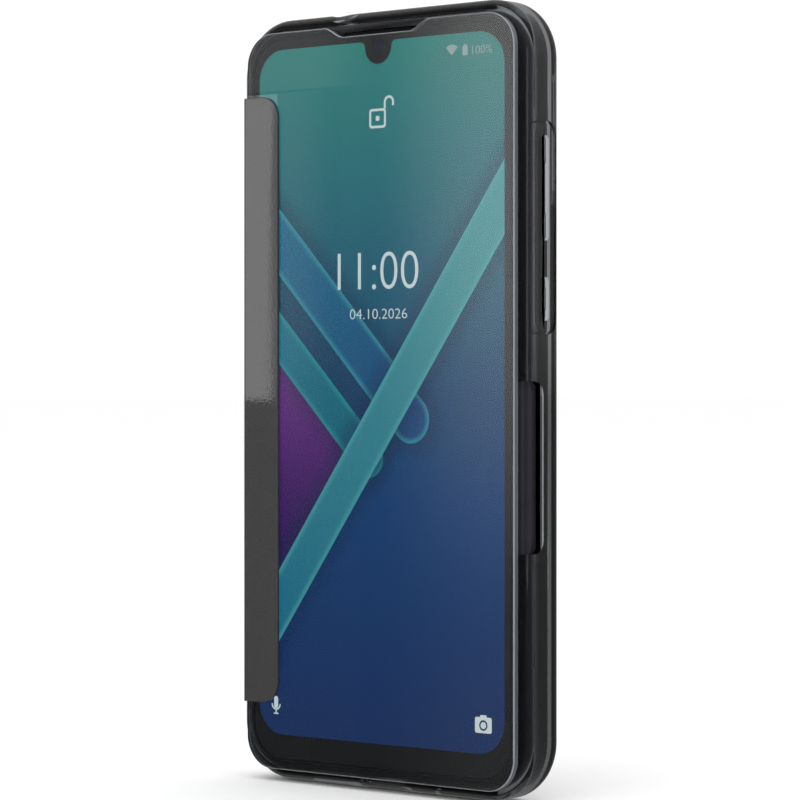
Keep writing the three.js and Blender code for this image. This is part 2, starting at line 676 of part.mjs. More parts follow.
/** A key: a round-ended cap through the side wall and a wider flange that keeps it in. */
function sideKey(key) {
  const cap = slabX(slot(keyY, key.midZ, KEY_WIDTH, key.length), keyFlangeInner, keyFace);
  const flange = box(keyFlangeInner, keyFlangeOuter, keyY - KEY_WIDTH / 2, keyY + KEY_WIDTH / 2,
    key.bottom - KEY_FLANGE, key.top + KEY_FLANGE);
  return join(cap, flange);
}

/** A flexible strip with one snap dome behind each pressing point. */
function keyFlex() {
  const strip0 = box(keyFlexX - KEY_FLEX_THICKNESS, keyFlexX, keyY - KEY_WIDTH, keyY + KEY_WIDTH / 2,
    powerKey.bottom, volumeKey.top);
  const pressPoints = [
    volumeKey.midZ + VOLUME_LENGTH / 3,
    volumeKey.midZ - VOLUME_LENGTH / 3,
    powerKey.midZ,
  ];
  const domes = pressPoints.map((z) => {
    const geometry = new THREE.CylinderGeometry(DOME_R / 2, DOME_R, DOME_HEIGHT, SMALL_ROUND_SEGMENTS);
    geometry.rotateZ(-Math.PI / 2);
    geometry.translate(keyFlexX + DOME_HEIGHT / 2 - KEY_FLEX_THICKNESS / 2, keyY, z);
    return solid(geometry);
  });
  return join(strip0, ...domes);
}

addPart('volume_rocker', sideKey(volumeKey), finishes.keyMetal);
addPart('power_key', sideKey(powerKey), finishes.keyMetal);
addPart('side_key_flex', keyFlex(), finishes.flex);

// ---------------------------------------------------------------- connectors

function headphoneJack() {
  const half = JACK_BODY_WIDTH / 2;
  const skin = PART_CLEARANCE / 2;
  const body = box(JACK_X - half, JACK_X + half, roomFrontY + skin, roomBackY - skin,
    jackTop - JACK_BODY_LENGTH, jackTop);
  return cut(body, barZ(JACK_X, portY, JACK_BORE_R, jackTop - JACK_BODY_LENGTH + 1, jackTop + SPARE));
}

function usbReceptacle() {
  const top = usbBottom + USB_LENGTH;
  const can = slabZ(slot(0, portY, USB_WIDTH, USB_HEIGHT), usbBottom, top);
  const inner = slot(0, portY, USB_WIDTH - 2 * USB_WALL, USB_HEIGHT - 2 * USB_WALL);
  const mouth = slabZ(inner, usbBottom - SPARE, top - 2 * USB_WALL);
  const tongue = box(-USB_TONGUE_WIDTH / 2, USB_TONGUE_WIDTH / 2, portY - USB_TONGUE_THICKNESS / 2,
    portY + USB_TONGUE_THICKNESS / 2, usbBottom + 2 * USB_WALL, top - USB_WALL);
  return join(cut(can, mouth), tongue);
}

addPart('headphone_jack', headphoneJack(), finishes.blackPlastic);
addPart('usb_receptacle', usbReceptacle(), finishes.steel);

// ---------------------------------------------------------------- loudspeaker, motor, microphone

const speakerBox = {
  left: speakerSlot.left - PART_CLEARANCE,
  right: -USB_WIDTH / 2 - USB_WALL - PORT_CLEARANCE - SPEAKER_USB_GAP,
  bottom: roomBottom + PART_CLEARANCE,
  top: roomBottom + PART_CLEARANCE + SPEAKER_LENGTH,
};
const motor = { x: roomHalfWidth - MOTOR_SIDE_INSET, z: subBoard.bottom + MOTOR_RISE, r: MOTOR_R };
const partFrontY = roomFrontY + BATTERY_FRONT_GAP;

addPart('loudspeaker',
  box(speakerBox.left, speakerBox.right, partFrontY, housingFrontY - PART_CLEARANCE / 2,
    speakerBox.bottom, speakerBox.top),
  finishes.blackPlastic);
addPart('vibration_motor', barY(motor.x, motor.z, motor.r, partFrontY, housingFrontY - MOTOR_REAR_GAP),
  finishes.steel);

// ---------------------------------------------------------------- cameras and earpiece

const earpieceLeft = FRONT_CAMERA_BODY / 2 + EARPIECE_CAMERA_GAP;
const earpieceRight = earpieceLeft + EARPIECE_WIDTH;
const earpieceBottom = meshTop - EARPIECE_HEIGHT;

function frontCamera() {
  const half = FRONT_CAMERA_BODY / 2;
  return join(
    box(-half, half, partFrontY, housingFrontY - PART_CLEARANCE, frontCameraZ - half, frontCameraZ + half),
    barY(0, frontCameraZ, FRONT_CAMERA_R, GLASS_THICKNESS + PART_CLEARANCE / 2, partFrontY + PART_CLEARANCE),
  );
}

/** A rear camera: a square body behind the mid plate and a round barrel that reaches the lens window. */
function rearCamera({ drop, body, barrelR }) {
  const z = cameraBlock.top - drop;
  const half = body / 2;
  return join(
    box(cameraBlock.x - half, cameraBlock.x + half,
      partFrontY, housingFrontY - PART_CLEARANCE, z - half, z + half),
    barY(cameraBlock.x, z, barrelR, housingFrontY - 2 * PART_CLEARANCE, cameraBarrelY),
  );
}

/** The ring plate round the lenses: a pill with a recess for its glass and a hole behind each lens. */
function cameraBezel() {
  const wide = CAMERA_WINDOW_WIDTH - 2 * CAMERA_BEZEL_CLEARANCE;
  const tall = CAMERA_WINDOW_LENGTH - 2 * CAMERA_BEZEL_CLEARANCE;
  const body = slabY(slot(cameraBlock.x, cameraBlock.midZ, wide, tall), roomBackY, cameraBezelRearY);
  const recess = slabY(
    slot(cameraBlock.x, cameraBlock.midZ, wide - 2 * CAMERA_GLASS_RIM, tall - 2 * CAMERA_GLASS_RIM),
    cameraGlassY, cameraBezelRearY + SPARE);
  const holes = [
    { drop: MAIN_CAMERA.drop, r: MAIN_CAMERA.barrelR },
    { drop: SECOND_CAMERA.drop, r: SECOND_CAMERA.barrelR },
    FLASH,
  ].map(({ drop, r }) => barY(
    cameraBlock.x, cameraBlock.top - drop, r + PORT_CLEARANCE, roomBackY - SPARE, cameraBezelRearY + SPARE));
  return cut(body, recess, ...holes);
}

function cameraGlass() {
  const rim = CAMERA_BEZEL_CLEARANCE + CAMERA_GLASS_RIM + CAMERA_BEZEL_CLEARANCE;
  const outline = slot(cameraBlock.x, cameraBlock.midZ,
    CAMERA_WINDOW_WIDTH - 2 * rim, CAMERA_WINDOW_LENGTH - 2 * rim);
  return slabY(outline, cameraGlassY, cameraGlassY + CAMERA_GLASS_THICKNESS);
}

addPart('front_camera', frontCamera(), finishes.lens);
addPart('earpiece_speaker',
  box(earpieceLeft, earpieceRight, partFrontY, housingFrontY - PART_CLEARANCE, earpieceBottom, meshTop),
  finishes.blackPlastic);
addPart('main_camera', rearCamera(MAIN_CAMERA), finishes.lens);
addPart('second_camera', rearCamera(SECOND_CAMERA), finishes.lens);
addPart('flash_lamp',
  barY(cameraBlock.x, cameraBlock.top - FLASH.drop, FLASH.r, boardRearY, cameraBarrelY), finishes.pale);
addPart('camera_bezel', cameraBezel(), finishes.steel);
addPart('camera_glass', cameraGlass(), finishes.glass);

// ---------------------------------------------------------------- boards

function postHole({ x, z }) {
  return barY(x, z, BOSS_R + SCREW_CLEARANCE, BOARD_Y - SPARE, boardRearY + SPARE, SMALL_ROUND_SEGMENTS);
}

/** What stands through or beside a board: each is cut out of it with a clearance all round. */
function clearBox(x0, x1, z0, z1, y0 = BOARD_Y - SPARE, y1 = boardRearY + SPARE) {
  const c = PART_CLEARANCE;
  return box(x0 - c, x1 + c, y0, y1, z0 - c, z1 + c);
}

const jackHalf = JACK_BODY_WIDTH / 2;
const frontCameraHalf = FRONT_CAMERA_BODY / 2;

/** The top parts that the main board and the upper housing both leave room for. */
function topPartClearances(y0, y1) {
  const cameras = [MAIN_CAMERA, SECOND_CAMERA].map(({ drop, body }) => {
    const z = cameraBlock.top - drop;
    return clearBox(cameraBlock.x - body / 2, cameraBlock.x + body / 2, z - body / 2, z + body / 2, y0, y1);
  });
  return [
    clearBox(JACK_X - jackHalf, JACK_X + jackHalf, jackTop - JACK_BODY_LENGTH, phone.top, y0, y1),
    ...cameras,
  ];
}

function mainBoardSolid() {
  const outline = phoneOutline(FRAME_WALL + BOARD_EDGE_GAP);
  const region = box(-PHONE_WIDTH, keyRibX - PART_CLEARANCE, BOARD_Y, boardRearY,
    mainBoard.bottom, phone.top);
  const sheet = slabY(outline, BOARD_Y, boardRearY).intersect(region);
  return cut(
    sheet,
    ...topPartClearances(),
    clearBox(-frontCameraHalf, frontCameraHalf, frontCameraZ - frontCameraHalf, phone.top),
    clearBox(earpieceLeft, earpieceRight, earpieceBottom, phone.top),
    ...SCREW_POSTS.map(postHole),
  );
}

function subBoardSolid() {
  const outline = phoneOutline(FRAME_WALL + BOARD_EDGE_GAP);
  const region = box(-PHONE_WIDTH, PHONE_WIDTH, BOARD_Y, boardRearY, 0, subBoard.top);
  const sheet = slabY(outline, BOARD_Y, boardRearY).intersect(region);
  return cut(
    sheet,
    clearBox(-USB_WIDTH / 2, USB_WIDTH / 2, 0, usbBottom + USB_LENGTH),
    clearBox(speakerBox.left, speakerBox.right, 0, speakerBox.top),
    barY(motor.x, motor.z, motor.r + PART_CLEARANCE, BOARD_Y - SPARE, boardRearY + SPARE),
    ...SCREW_POSTS.map(postHole),
  );
}

/** A flat can or card holder soldered to the back of a board. */
function boardCan(x0, x1, z0, z1) {
  return box(x0, x1, boardRearY, housingFrontY - CAN_REAR_GAP, z0, z1);
}

const canLeft = -boardHalfWidth + MAIN_FLEX_WIDTH + CAN_SPACING;
const simRight = canLeft + SIM_HOLDER_WIDTH;
const cardLeft = simRight + CAN_SPACING;
const cardRowBottom = mainBoard.bottom + CAN_EDGE_GAP;
const cardRowTop = cardRowBottom + CARD_HOLDER_LENGTH;
const radioRight = JACK_X - jackHalf - CAN_EDGE_GAP;
const radioBottom = cardRowTop + CAN_SPACING;
const processorRight = cameraBlock.x - CAMERA_WINDOW_WIDTH / 2 - CAN_SPACING;
const micHalf = MIC_CAN_WIDTH / 2;
const micBottom = subBoard.bottom + CAN_SPACING;

addPart('main_board', mainBoardSolid(), finishes.board);
addPart('radio_shield',
  boardCan(canLeft, radioRight, radioBottom, radioBottom + RADIO_SHIELD_LENGTH), finishes.can);
addPart('processor_shield',
  boardCan(PROCESSOR_SHIELD_LEFT, processorRight, cardRowBottom, cardRowBottom + PROCESSOR_SHIELD_LENGTH),
  finishes.can);
addPart('sim_card_holder', boardCan(canLeft, simRight, cardRowBottom, cardRowTop), finishes.can);
addPart('memory_card_holder',
  boardCan(cardLeft, cardLeft + CARD_HOLDER_WIDTH, cardRowBottom, cardRowTop), finishes.can);
addPart('sub_board', subBoardSolid(), finishes.board);
addPart('microphone',
  boardCan(MIC_X - micHalf, MIC_X + micHalf, micBottom, micBottom + MIC_CAN_LENGTH), finishes.can);

// ---------------------------------------------------------------- battery and flexes

const flexLeft = -boardHalfWidth + 0.2;
const batteryHalf = Math.min(keyRibX, boardHalfWidth - MAIN_FLEX_WIDTH) - BATTERY_SIDE_GAP;

function battery() {
  const outline = roundedRect(-batteryHalf, batteryHalf,
    subBoard.top + BATTERY_GAP, mainBoard.bottom - BATTERY_GAP, 1.0);
  return slabY(outline, partFrontY, roomBackY - BATTERY_REAR_GAP, EDGE_SEGMENTS);
}

/** The ribbon from the screen: it turns through its slot and lies on the lower board. */
function displayFlex() {
  const half = DISPLAY_FLEX_WIDTH / 2;
  const rear = boardRearY + FLEX_THICKNESS;
  const post = SCREW_POSTS[SCREW_POSTS.length - 1];
  const foot = post.z + BOSS_R + 0.4;
  return join(
    box(-half, half, pocketFloorY, rear, displayFlexZ, displayFlexZ + FLEX_THICKNESS),
    box(-half, half, boardRearY, rear, foot, displayFlexZ + FLEX_THICKNESS),
  );
}

addPart('battery', battery(), finishes.battery);
addPart('main_flex',
  box(flexLeft, flexLeft + MAIN_FLEX_WIDTH, boardRearY, boardRearY + FLEX_THICKNESS,
    subBoard.top - 3.0, mainBoard.bottom + 1.6),
  finishes.flex);
addPart('display_flex', displayFlex(), finishes.flex);

// ---------------------------------------------------------------- rear housings and screws

function housingHole({ x, z }) {
  return join(
    barY(x, z, SCREW_SHANK_R + SCREW_CLEARANCE, housingFrontY - SPARE, housingRearY + SPARE,
      SMALL_ROUND_SEGMENTS),
    barY(x, z, SCREW_HEAD_R + SCREW_CLEARANCE, housingRearY - SCREW_HEAD_HEIGHT, housingRearY + SPARE,
      SMALL_ROUND_SEGMENTS),
  );
}

function housingSheet(z0, z1) {
  const outline = phoneOutline(FRAME_WALL + BOARD_EDGE_GAP);
  return slabY(outline, housingFrontY, housingRearY)
    .intersect(box(-PHONE_WIDTH, PHONE_WIDTH, housingFrontY, housingRearY, z0, z1));
}

function upperHousing() {
  const y0 = housingFrontY - SPARE;
  const y1 = housingRearY + SPARE;
  const spare = CAMERA_BEZEL_CLEARANCE + PART_CLEARANCE;
  const cameraOpening = slabY(
    slot(cameraBlock.x, cameraBlock.midZ, CAMERA_WINDOW_WIDTH + 2 * spare, CAMERA_WINDOW_LENGTH + 2 * spare),
    y0, y1);
  return cut(
    housingSheet(mainBoard.bottom, phone.top),
    clearBox(JACK_X - jackHalf, JACK_X + jackHalf, jackTop - JACK_BODY_LENGTH, phone.top, y0, y1),
    cameraOpening,
    ...SCREW_POSTS.map(housingHole),
  );
}

function lowerHousing() {
  const y0 = housingFrontY - SPARE;
  const y1 = housingRearY + SPARE;
  return cut(
    housingSheet(0, subBoard.top),
    clearBox(-USB_WIDTH / 2, USB_WIDTH / 2, 0, usbBottom + USB_LENGTH, y0, y1),
    ...SCREW_POSTS.map(housingHole),
  );
}

/** A pan-head screw whose head sits flush in the housing. */
function housingScrew({ x, z }) {
  return join(
    barY(x, z, SCREW_HEAD_R, housingRearY - SCREW_HEAD_HEIGHT, housingRearY, SMALL_ROUND_SEGMENTS),
    barY(x, z, SCREW_SHANK_R, roomFrontY + 2 * PART_CLEARANCE, housingRearY - PART_CLEARANCE,
      SMALL_ROUND_SEGMENTS),
  );
}

addPart('upper_housing', upperHousing(), finishes.blackPlastic);
addPart('lower_housing', lowerHousing(), finishes.blackPlastic);
SCREW_POSTS.forEach((post, i) => addPart(`housing_screw_${i + 1}`, housingScrew(post), finishes.steel));

// ---------------------------------------------------------------- place the device

const closedMidX = (spine.outer + shell.halfWidth) / 2;
const closedMidY = (strip.front + shell.back + REAR_STRIP_THICKNESS) / 2;
device.position.set(-closedMidX, -closedMidY, 0);

const root = new THREE.Group();
root.add(device);

export default root;
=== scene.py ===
"""A touch-screen handset in a smoke-clear folio case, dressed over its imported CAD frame."""

import json
import logging
import math
from dataclasses import dataclass, field
from enum import Enum
from typing import Any, Callable, Optional, Sequence

import bpy
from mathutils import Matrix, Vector

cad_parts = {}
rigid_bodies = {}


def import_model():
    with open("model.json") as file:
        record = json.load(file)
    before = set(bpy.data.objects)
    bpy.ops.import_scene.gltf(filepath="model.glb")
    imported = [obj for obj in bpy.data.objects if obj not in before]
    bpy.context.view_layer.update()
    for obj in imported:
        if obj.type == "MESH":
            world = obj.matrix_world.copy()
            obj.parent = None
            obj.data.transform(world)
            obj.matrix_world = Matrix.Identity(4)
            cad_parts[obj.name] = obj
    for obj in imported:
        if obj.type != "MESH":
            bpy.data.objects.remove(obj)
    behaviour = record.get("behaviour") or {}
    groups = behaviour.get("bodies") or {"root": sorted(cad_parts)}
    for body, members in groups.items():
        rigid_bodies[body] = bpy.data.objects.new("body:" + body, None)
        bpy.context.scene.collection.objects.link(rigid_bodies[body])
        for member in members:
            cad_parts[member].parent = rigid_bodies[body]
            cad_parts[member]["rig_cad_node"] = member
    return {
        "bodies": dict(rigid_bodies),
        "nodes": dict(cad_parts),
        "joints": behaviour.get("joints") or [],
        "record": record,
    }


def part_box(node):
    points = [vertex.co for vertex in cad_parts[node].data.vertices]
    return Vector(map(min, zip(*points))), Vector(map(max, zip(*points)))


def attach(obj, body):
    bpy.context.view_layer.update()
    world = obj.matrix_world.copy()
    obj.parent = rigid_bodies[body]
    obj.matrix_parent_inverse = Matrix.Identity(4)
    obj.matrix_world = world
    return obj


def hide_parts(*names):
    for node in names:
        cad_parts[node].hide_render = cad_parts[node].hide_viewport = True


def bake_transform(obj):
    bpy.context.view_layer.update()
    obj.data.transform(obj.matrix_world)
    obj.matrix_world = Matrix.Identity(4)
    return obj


LOG = logging.getLogger("handset")
MM = 0.001
TINY = 1e-6

Colour = tuple[float, float, float, float]


def scaled(colour: Colour, share: float) -> Colour:
    """A linear colour made lighter or darker by a share, up to full in each channel."""
    return tuple(min(1.0, channel * share) for channel in colour[:3]) + (1.0,)


def tone(red: float, green: float, blue: float) -> Colour:
    """Turns a display colour, 0 to 255 a channel, into the linear colour that a shader takes.

    Args:
        red: The red channel.
        green: The green channel.
        blue: The blue channel.

    Returns:
        The linear colour, with full alpha.
    """

    def linear(value: float) -> float:
        share = value / 255
        return share / 12.92 if share <= 0.04045 else ((share + 0.055) / 1.055) ** 2.4

    return (linear(red), linear(green), linear(blue), 1.0)


class Axis(Enum):
    """An axis of the row frame, by its place in a vector."""

    X = 0
    Y = 1
    Z = 2


@dataclass(frozen=True)
class Span:
    """A box in the row frame, in metres."""

    low: Vector
    high: Vector

    @classmethod
    def of(cls, *nodes: str) -> "Span":
        """The box round the named CAD nodes at rest.

        Args:
            nodes: The names of CAD nodes.

        Returns:
            The box.
        """
        boxes = [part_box(node) for node in nodes]
        return cls(
            Vector([min(box[0][i] for box in boxes) for i in range(3)]),
            Vector([max(box[1][i] for box in boxes) for i in range(3)]),
        )

    @property
    def centre(self) -> Vector:
        """The middle of the box."""
        return (self.low + self.high) / 2

    @property
    def size(self) -> Vector:
        """The three sides of the box."""
        return self.high - self.low

    def grown(self, x: float = 0.0, y: float = 0.0, z: float = 0.0) -> "Span":
        """The same box with each side moved out by so many millimetres."""
        step = Vector((x, y, z)) * MM
        return Span(self.low - step, self.high + step)

    def with_side(self, axis: Axis, low: Optional[float] = None, high: Optional[float] = None) -> "Span":
        """The same box with one or both sides along an axis put elsewhere, in metres.

        Args:
            axis: The axis that counts.
            low: The new low side, or None.
            high: The new high side, or None.

        Returns:
            The new box.
        """
        new_low, new_high = self.low.copy(), self.high.copy()
        if low is not None:
            new_low[axis.value] = low
        if high is not None:
            new_high[axis.value] = high
        return Span(new_low, new_high)


EdgeTest = Callable[[Vector, Vector], bool]
PointTest = Callable[[Vector], bool]


class Bench:
    """The modelling operations that every sub-assembly shares."""

    @staticmethod
    def only(piece: bpy.types.Object) -> None:
        """Leaves object mode, and selects and activates one piece alone.

        Args:
            piece: The piece to work on.
        """
        if bpy.context.object is not None and bpy.context.object.mode != "OBJECT":
            bpy.ops.object.mode_set(mode="OBJECT")
        bpy.ops.object.select_all(action="DESELECT")
        piece.select_set(True)
        bpy.context.view_layer.objects.active = piece

    @staticmethod
    def settle(name: str) -> bpy.types.Object:
        """Names the newest object and moves its place, turn and scale into its mesh.

        Args:
            name: The name of what is made.

        Returns:
            The object.
        """
        piece = bpy.context.object
        piece.name = name
        piece.data.name = name
        bpy.ops.object.transform_apply(location=True, rotation=True, scale=True)
        return piece

    @classmethod
    def block(cls, name: str, span: Span) -> bpy.types.Object:
        """Adds a square blank that fills a span.

        Args:
            name: The name of what is made.
            span: The box to fill.

        Returns:
            The new object.
        """
        bpy.ops.object.select_all(action="DESELECT")
        bpy.ops.mesh.primitive_cube_add(size=1.0, location=span.centre)
        bpy.context.object.scale = span.size
        return cls.settle(name)

    @classmethod
    def bar(cls, name: str, axis: Axis, centre: Vector, radius: float, length: float, sides: int = 48
            ) -> bpy.types.Object:
        """Adds a round blank along an axis.

        Args:
            name: The blank's name.
            axis: The axis that it lies along.
            centre: Its middle, in metres.
            radius: Its radius, in metres.
            length: Its length, in metres.
            sides: The number of flats round it.

        Returns:
            The new object.
        """
        quarter = math.pi / 2
        turn = {Axis.X: (0.0, quarter, 0.0), Axis.Y: (quarter, 0.0, 0.0), Axis.Z: (0.0, 0.0, 0.0)}[axis]
        bpy.ops.object.select_all(action="DESELECT")
        bpy.ops.mesh.primitive_cylinder_add(
            vertices=sides, radius=radius, depth=length, location=centre, rotation=turn)
        return cls.settle(name)

    @classmethod
    def mark(cls, piece: bpy.types.Object, test: EdgeTest) -> None:
        """Enters edit mode with just the edges selected that pass the test on their two ends.

        Args:
            piece: The piece to work on.
            test: A test on the two ends of an edge, in metres.
        """
        cls.only(piece)
        mesh = piece.data
        for group in (mesh.polygons, mesh.edges, mesh.vertices):
            group.foreach_set("select", [False] * len(group))
        for edge in mesh.edges:
            first, second = (mesh.vertices[i] for i in edge.vertices)
            if test(first.co, second.co):
                edge.select = first.select = second.select = True
        bpy.context.tool_settings.mesh_select_mode = (False, True, False)
        bpy.ops.object.mode_set(mode="EDIT")

    @staticmethod
    def bevel(radius: float, segments: int) -> None:
        """Rounds the selected edges, and goes back to object mode.

        Args:
            radius: The radius, in metres.
            segments: The number of flats.
        """
        bpy.ops.mesh.bevel(offset_type="OFFSET", offset=radius, segments=segments, profile=0.5,
                           affect="EDGES", clamp_overlap=False)
        bpy.ops.object.mode_set(mode="OBJECT")

    @classmethod
    def round_corners(cls, piece: bpy.types.Object, axis: Axis, radius: float, segments: int = 16,
                      where: Optional[PointTest] = None) -> bpy.types.Object:
        """Rounds the edges that run along an axis.

        Args:
            piece: The piece to change.
            axis: The axis that the edges run along.
            radius: The radius, in metres.
            segments: The number of flats in each corner.
            where: A test on an edge's middle, for only some of them.

        Returns:
            The same piece.
        """
        others = [i for i in range(3) if i != axis.value]

        def along(first: Vector, second: Vector) -> bool:
            straight = all(abs(first[i] - second[i]) < TINY for i in others)
            return straight and (where is None or where((first + second) / 2))

        cls.mark(piece, along)
        cls.bevel(radius, segments)
        return piece

    @classmethod
    def round_rim(cls, piece: bpy.types.Object, axis: Axis, level: float, radius: float, segments: int = 4
                  ) -> bpy.types.Object:
        """Rounds the rim of the flat face that lies at a level along an axis, in metres.

        Args:
            piece: The piece to work on.
            axis: The axis that counts.
            level: Where the face lies, in metres.
            radius: The radius, in metres.
            segments: The number of flats.

        Returns:
            The same piece.
        """
        i = axis.value
        cls.mark(piece, lambda first, second: abs(first[i] - level) < TINY and abs(second[i] - level) < TINY)
        cls.bevel(radius, segments)
        return piece

    @classmethod
    def slab(cls, name: str, axis: Axis, span: Span, corner: float, low_rim: float = 0.0,
             high_rim: float = 0.0, segments: int = 16, rim_segments: int = 6) -> bpy.types.Object:
        """Makes a plate with round corners and round rims.

        Args:
            name: The plate's name.
            axis: The axis through its thickness.
            span: The box that it fills.
            corner: The corner radius, in millimetres.
            low_rim: The rim radius on the low face, in millimetres.
            high_rim: The rim radius on the high face, in millimetres.
            segments: The number of flats in each corner.
            rim_segments: The number of flats across each rim.

        Returns:
            The new object.
        """
        piece = cls.block(name, span)
        cls.round_corners(piece, axis, corner * MM, segments)
        if low_rim:
            cls.round_rim(piece, axis, span.low[axis.value], low_rim * MM, rim_segments)
        if high_rim:
            cls.round_rim(piece, axis, span.high[axis.value], high_rim * MM, rim_segments)
        return piece

    @classmethod
    def modify(cls, piece: bpy.types.Object, kind: str, **settings: Any) -> bpy.types.Object:
        """Adds a modifier with its settings and applies it.

        Args:
            piece: The piece to work on.
            kind: The modifier's type.
            settings: The properties to set.

        Returns:
            The same piece.
        """
        modifier = piece.modifiers.new(kind.lower(), kind)
        for name, value in settings.items():
            setattr(modifier, name, value)
        cls.only(piece)
        bpy.ops.object.modifier_apply(modifier=modifier.name)
        return piece

    @classmethod
    def cut(cls, piece: bpy.types.Object, *tools: bpy.types.Object) -> bpy.types.Object:
        """Takes each tool's shape away from the piece, and removes the tools.

        Args:
            piece: The piece to work on.
            tools: The shapes to take away.

        Returns:
            The same piece.
        """
        for tool in tools:
            cls.modify(piece, "BOOLEAN", operation="DIFFERENCE", solver="MANIFOLD", object=tool)
            bpy.data.objects.remove(tool, do_unlink=True)
        return piece

    @classmethod
    def fuse(cls, piece: bpy.types.Object, *others: bpy.types.Object) -> bpy.types.Object:
        """Adds each other shape to the piece, and removes the others.

        Args:
            piece: The piece to work on.
            others: The other shapes.

        Returns:
            The same piece.
        """
        for other in others:
            cls.modify(piece, "BOOLEAN", operation="UNION", solver="MANIFOLD", object=other)
            bpy.data.objects.remove(other, do_unlink=True)
        return piece

    @classmethod
    def gather(cls, piece: bpy.types.Object, *others: bpy.types.Object) -> bpy.types.Object:
        """Joins separate shapes into one object.

        Args:
            piece: The piece to work on.
            others: The other shapes.

        Returns:
            The same piece.
        """
        cls.only(piece)
        for other in others:
            other.select_set(True)
        bpy.ops.object.join()
        return piece

    @classmethod
    def smooth(cls, piece: bpy.types.Object, degrees: float = 32.0) -> bpy.types.Object:
        """Shades a piece smooth up to an angle, with flat faces kept flat.

        Args:
            piece: The piece to work on.
            degrees: The greatest angle that is shaded smooth.

        Returns:
            The same piece.
        """
        cls.only(piece)
        bpy.ops.object.shade_smooth_by_angle(angle=math.radians(degrees))
        cls.modify(piece, "WEIGHTED_NORMAL", keep_sharp=True)
        return piece

    @staticmethod
    def paint(piece: bpy.types.Object, material: bpy.types.Material) -> None:
        """Puts one material on a piece, all over.

        Args:
            piece: The piece to work on.
            material: The material.
        """
        piece.data.materials.clear()
        piece.data.materials.append(material)
        piece.data.polygons.foreach_set("material_index", [0] * len(piece.data.polygons))

    @classmethod
    def ribbon(cls, name: str, path: Sequence[tuple[float, float]], low_z: float, high_z: float,
               thickness: float) -> bpy.types.Object:
        """Draws a strip of sheet along a path seen from above.

        Args:
            name: The strip's name.
            path: The (x, y) points of its middle, in metres.
            low_z: Its lower edge, in metres.
            high_z: Its upper edge, in metres.
            thickness: Its thickness, in metres.

        Returns:
            The new object.
        """
        start = path[0]
        bpy.ops.object.select_all(action="DESELECT")
        bpy.ops.mesh.primitive_plane_add(
            size=1.0, location=(start[0] + 0.5, start[1], (low_z + high_z) / 2), rotation=(math.pi / 2, 0, 0))
        bpy.context.object.scale = (1.0, high_z - low_z, 1.0)
        piece = cls.settle(name)
        cls.mark(piece, lambda first, second: min(first.x, second.x) > start[0] + 0.5)
        bpy.ops.mesh.delete(type="VERT")
        bpy.ops.mesh.select_all(action="SELECT")
        for before, after in zip(path, path[1:]):
            step = (after[0] - before[0], after[1] - before[1], 0.0)
            bpy.ops.mesh.extrude_edges_move(TRANSFORM_OT_translate={"value": step})
        bpy.ops.mesh.select_all(action="SELECT")
        bpy.ops.mesh.remove_doubles(threshold=TINY)
        bpy.ops.mesh.normals_make_consistent(inside=False)
        bpy.ops.object.mode_set(mode="OBJECT")
        cls.modify(piece, "SOLIDIFY", thickness=thickness, offset=0.0, use_even_offset=True)
        cls.only(piece)
        bpy.ops.object.mode_set(mode="EDIT")
        bpy.ops.mesh.select_all(action="SELECT")
        bpy.ops.mesh.normals_make_consistent(inside=False)
        bpy.ops.object.mode_set(mode="OBJECT")
        return piece

    @classmethod
    def lettering(cls, name: str, text: str, height: float, centre: Vector, depth: float, width: float
                  ) -> bpy.types.Object:
        """Makes figures that face the front, scaled to a height and a width, in metres.

        Args:
            name: The name of what is made.
            text: The figures.
            height: The height, in metres.
            centre: The middle, in metres.
            depth: The depth, in metres.
            width: The width, in metres.

        Returns:
            The new object.
        """
        bpy.ops.object.select_all(action="DESELECT")
        bpy.ops.object.text_add(location=(0.0, 0.0, 0.0))
        bpy.context.object.data.body = text
        bpy.context.object.data.resolution_u = 5
        bpy.context.object.data.offset = -0.012
        bpy.ops.object.convert(target="MESH")
        piece = bpy.context.object
        corners = [Vector(corner) for corner in piece.bound_box]
        low = Vector([min(corner[i] for corner in corners) for i in range(3)])
        high = Vector([max(corner[i] for corner in corners) for i in range(3)])
        bpy.ops.object.mode_set(mode="EDIT")
        bpy.ops.mesh.select_all(action="SELECT")
        bpy.ops.transform.translate(value=-(low + high) / 2)
        bpy.ops.object.mode_set(mode="OBJECT")
        piece.scale = (width / (high.x - low.x), height / (high.y - low.y), 1.0)
        piece.rotation_euler = (math.pi / 2, 0.0, 0.0)
        piece.location = centre
        cls.settle(name)
        cls.modify(piece, "SOLIDIFY", thickness=depth, offset=0.0)
        return piece


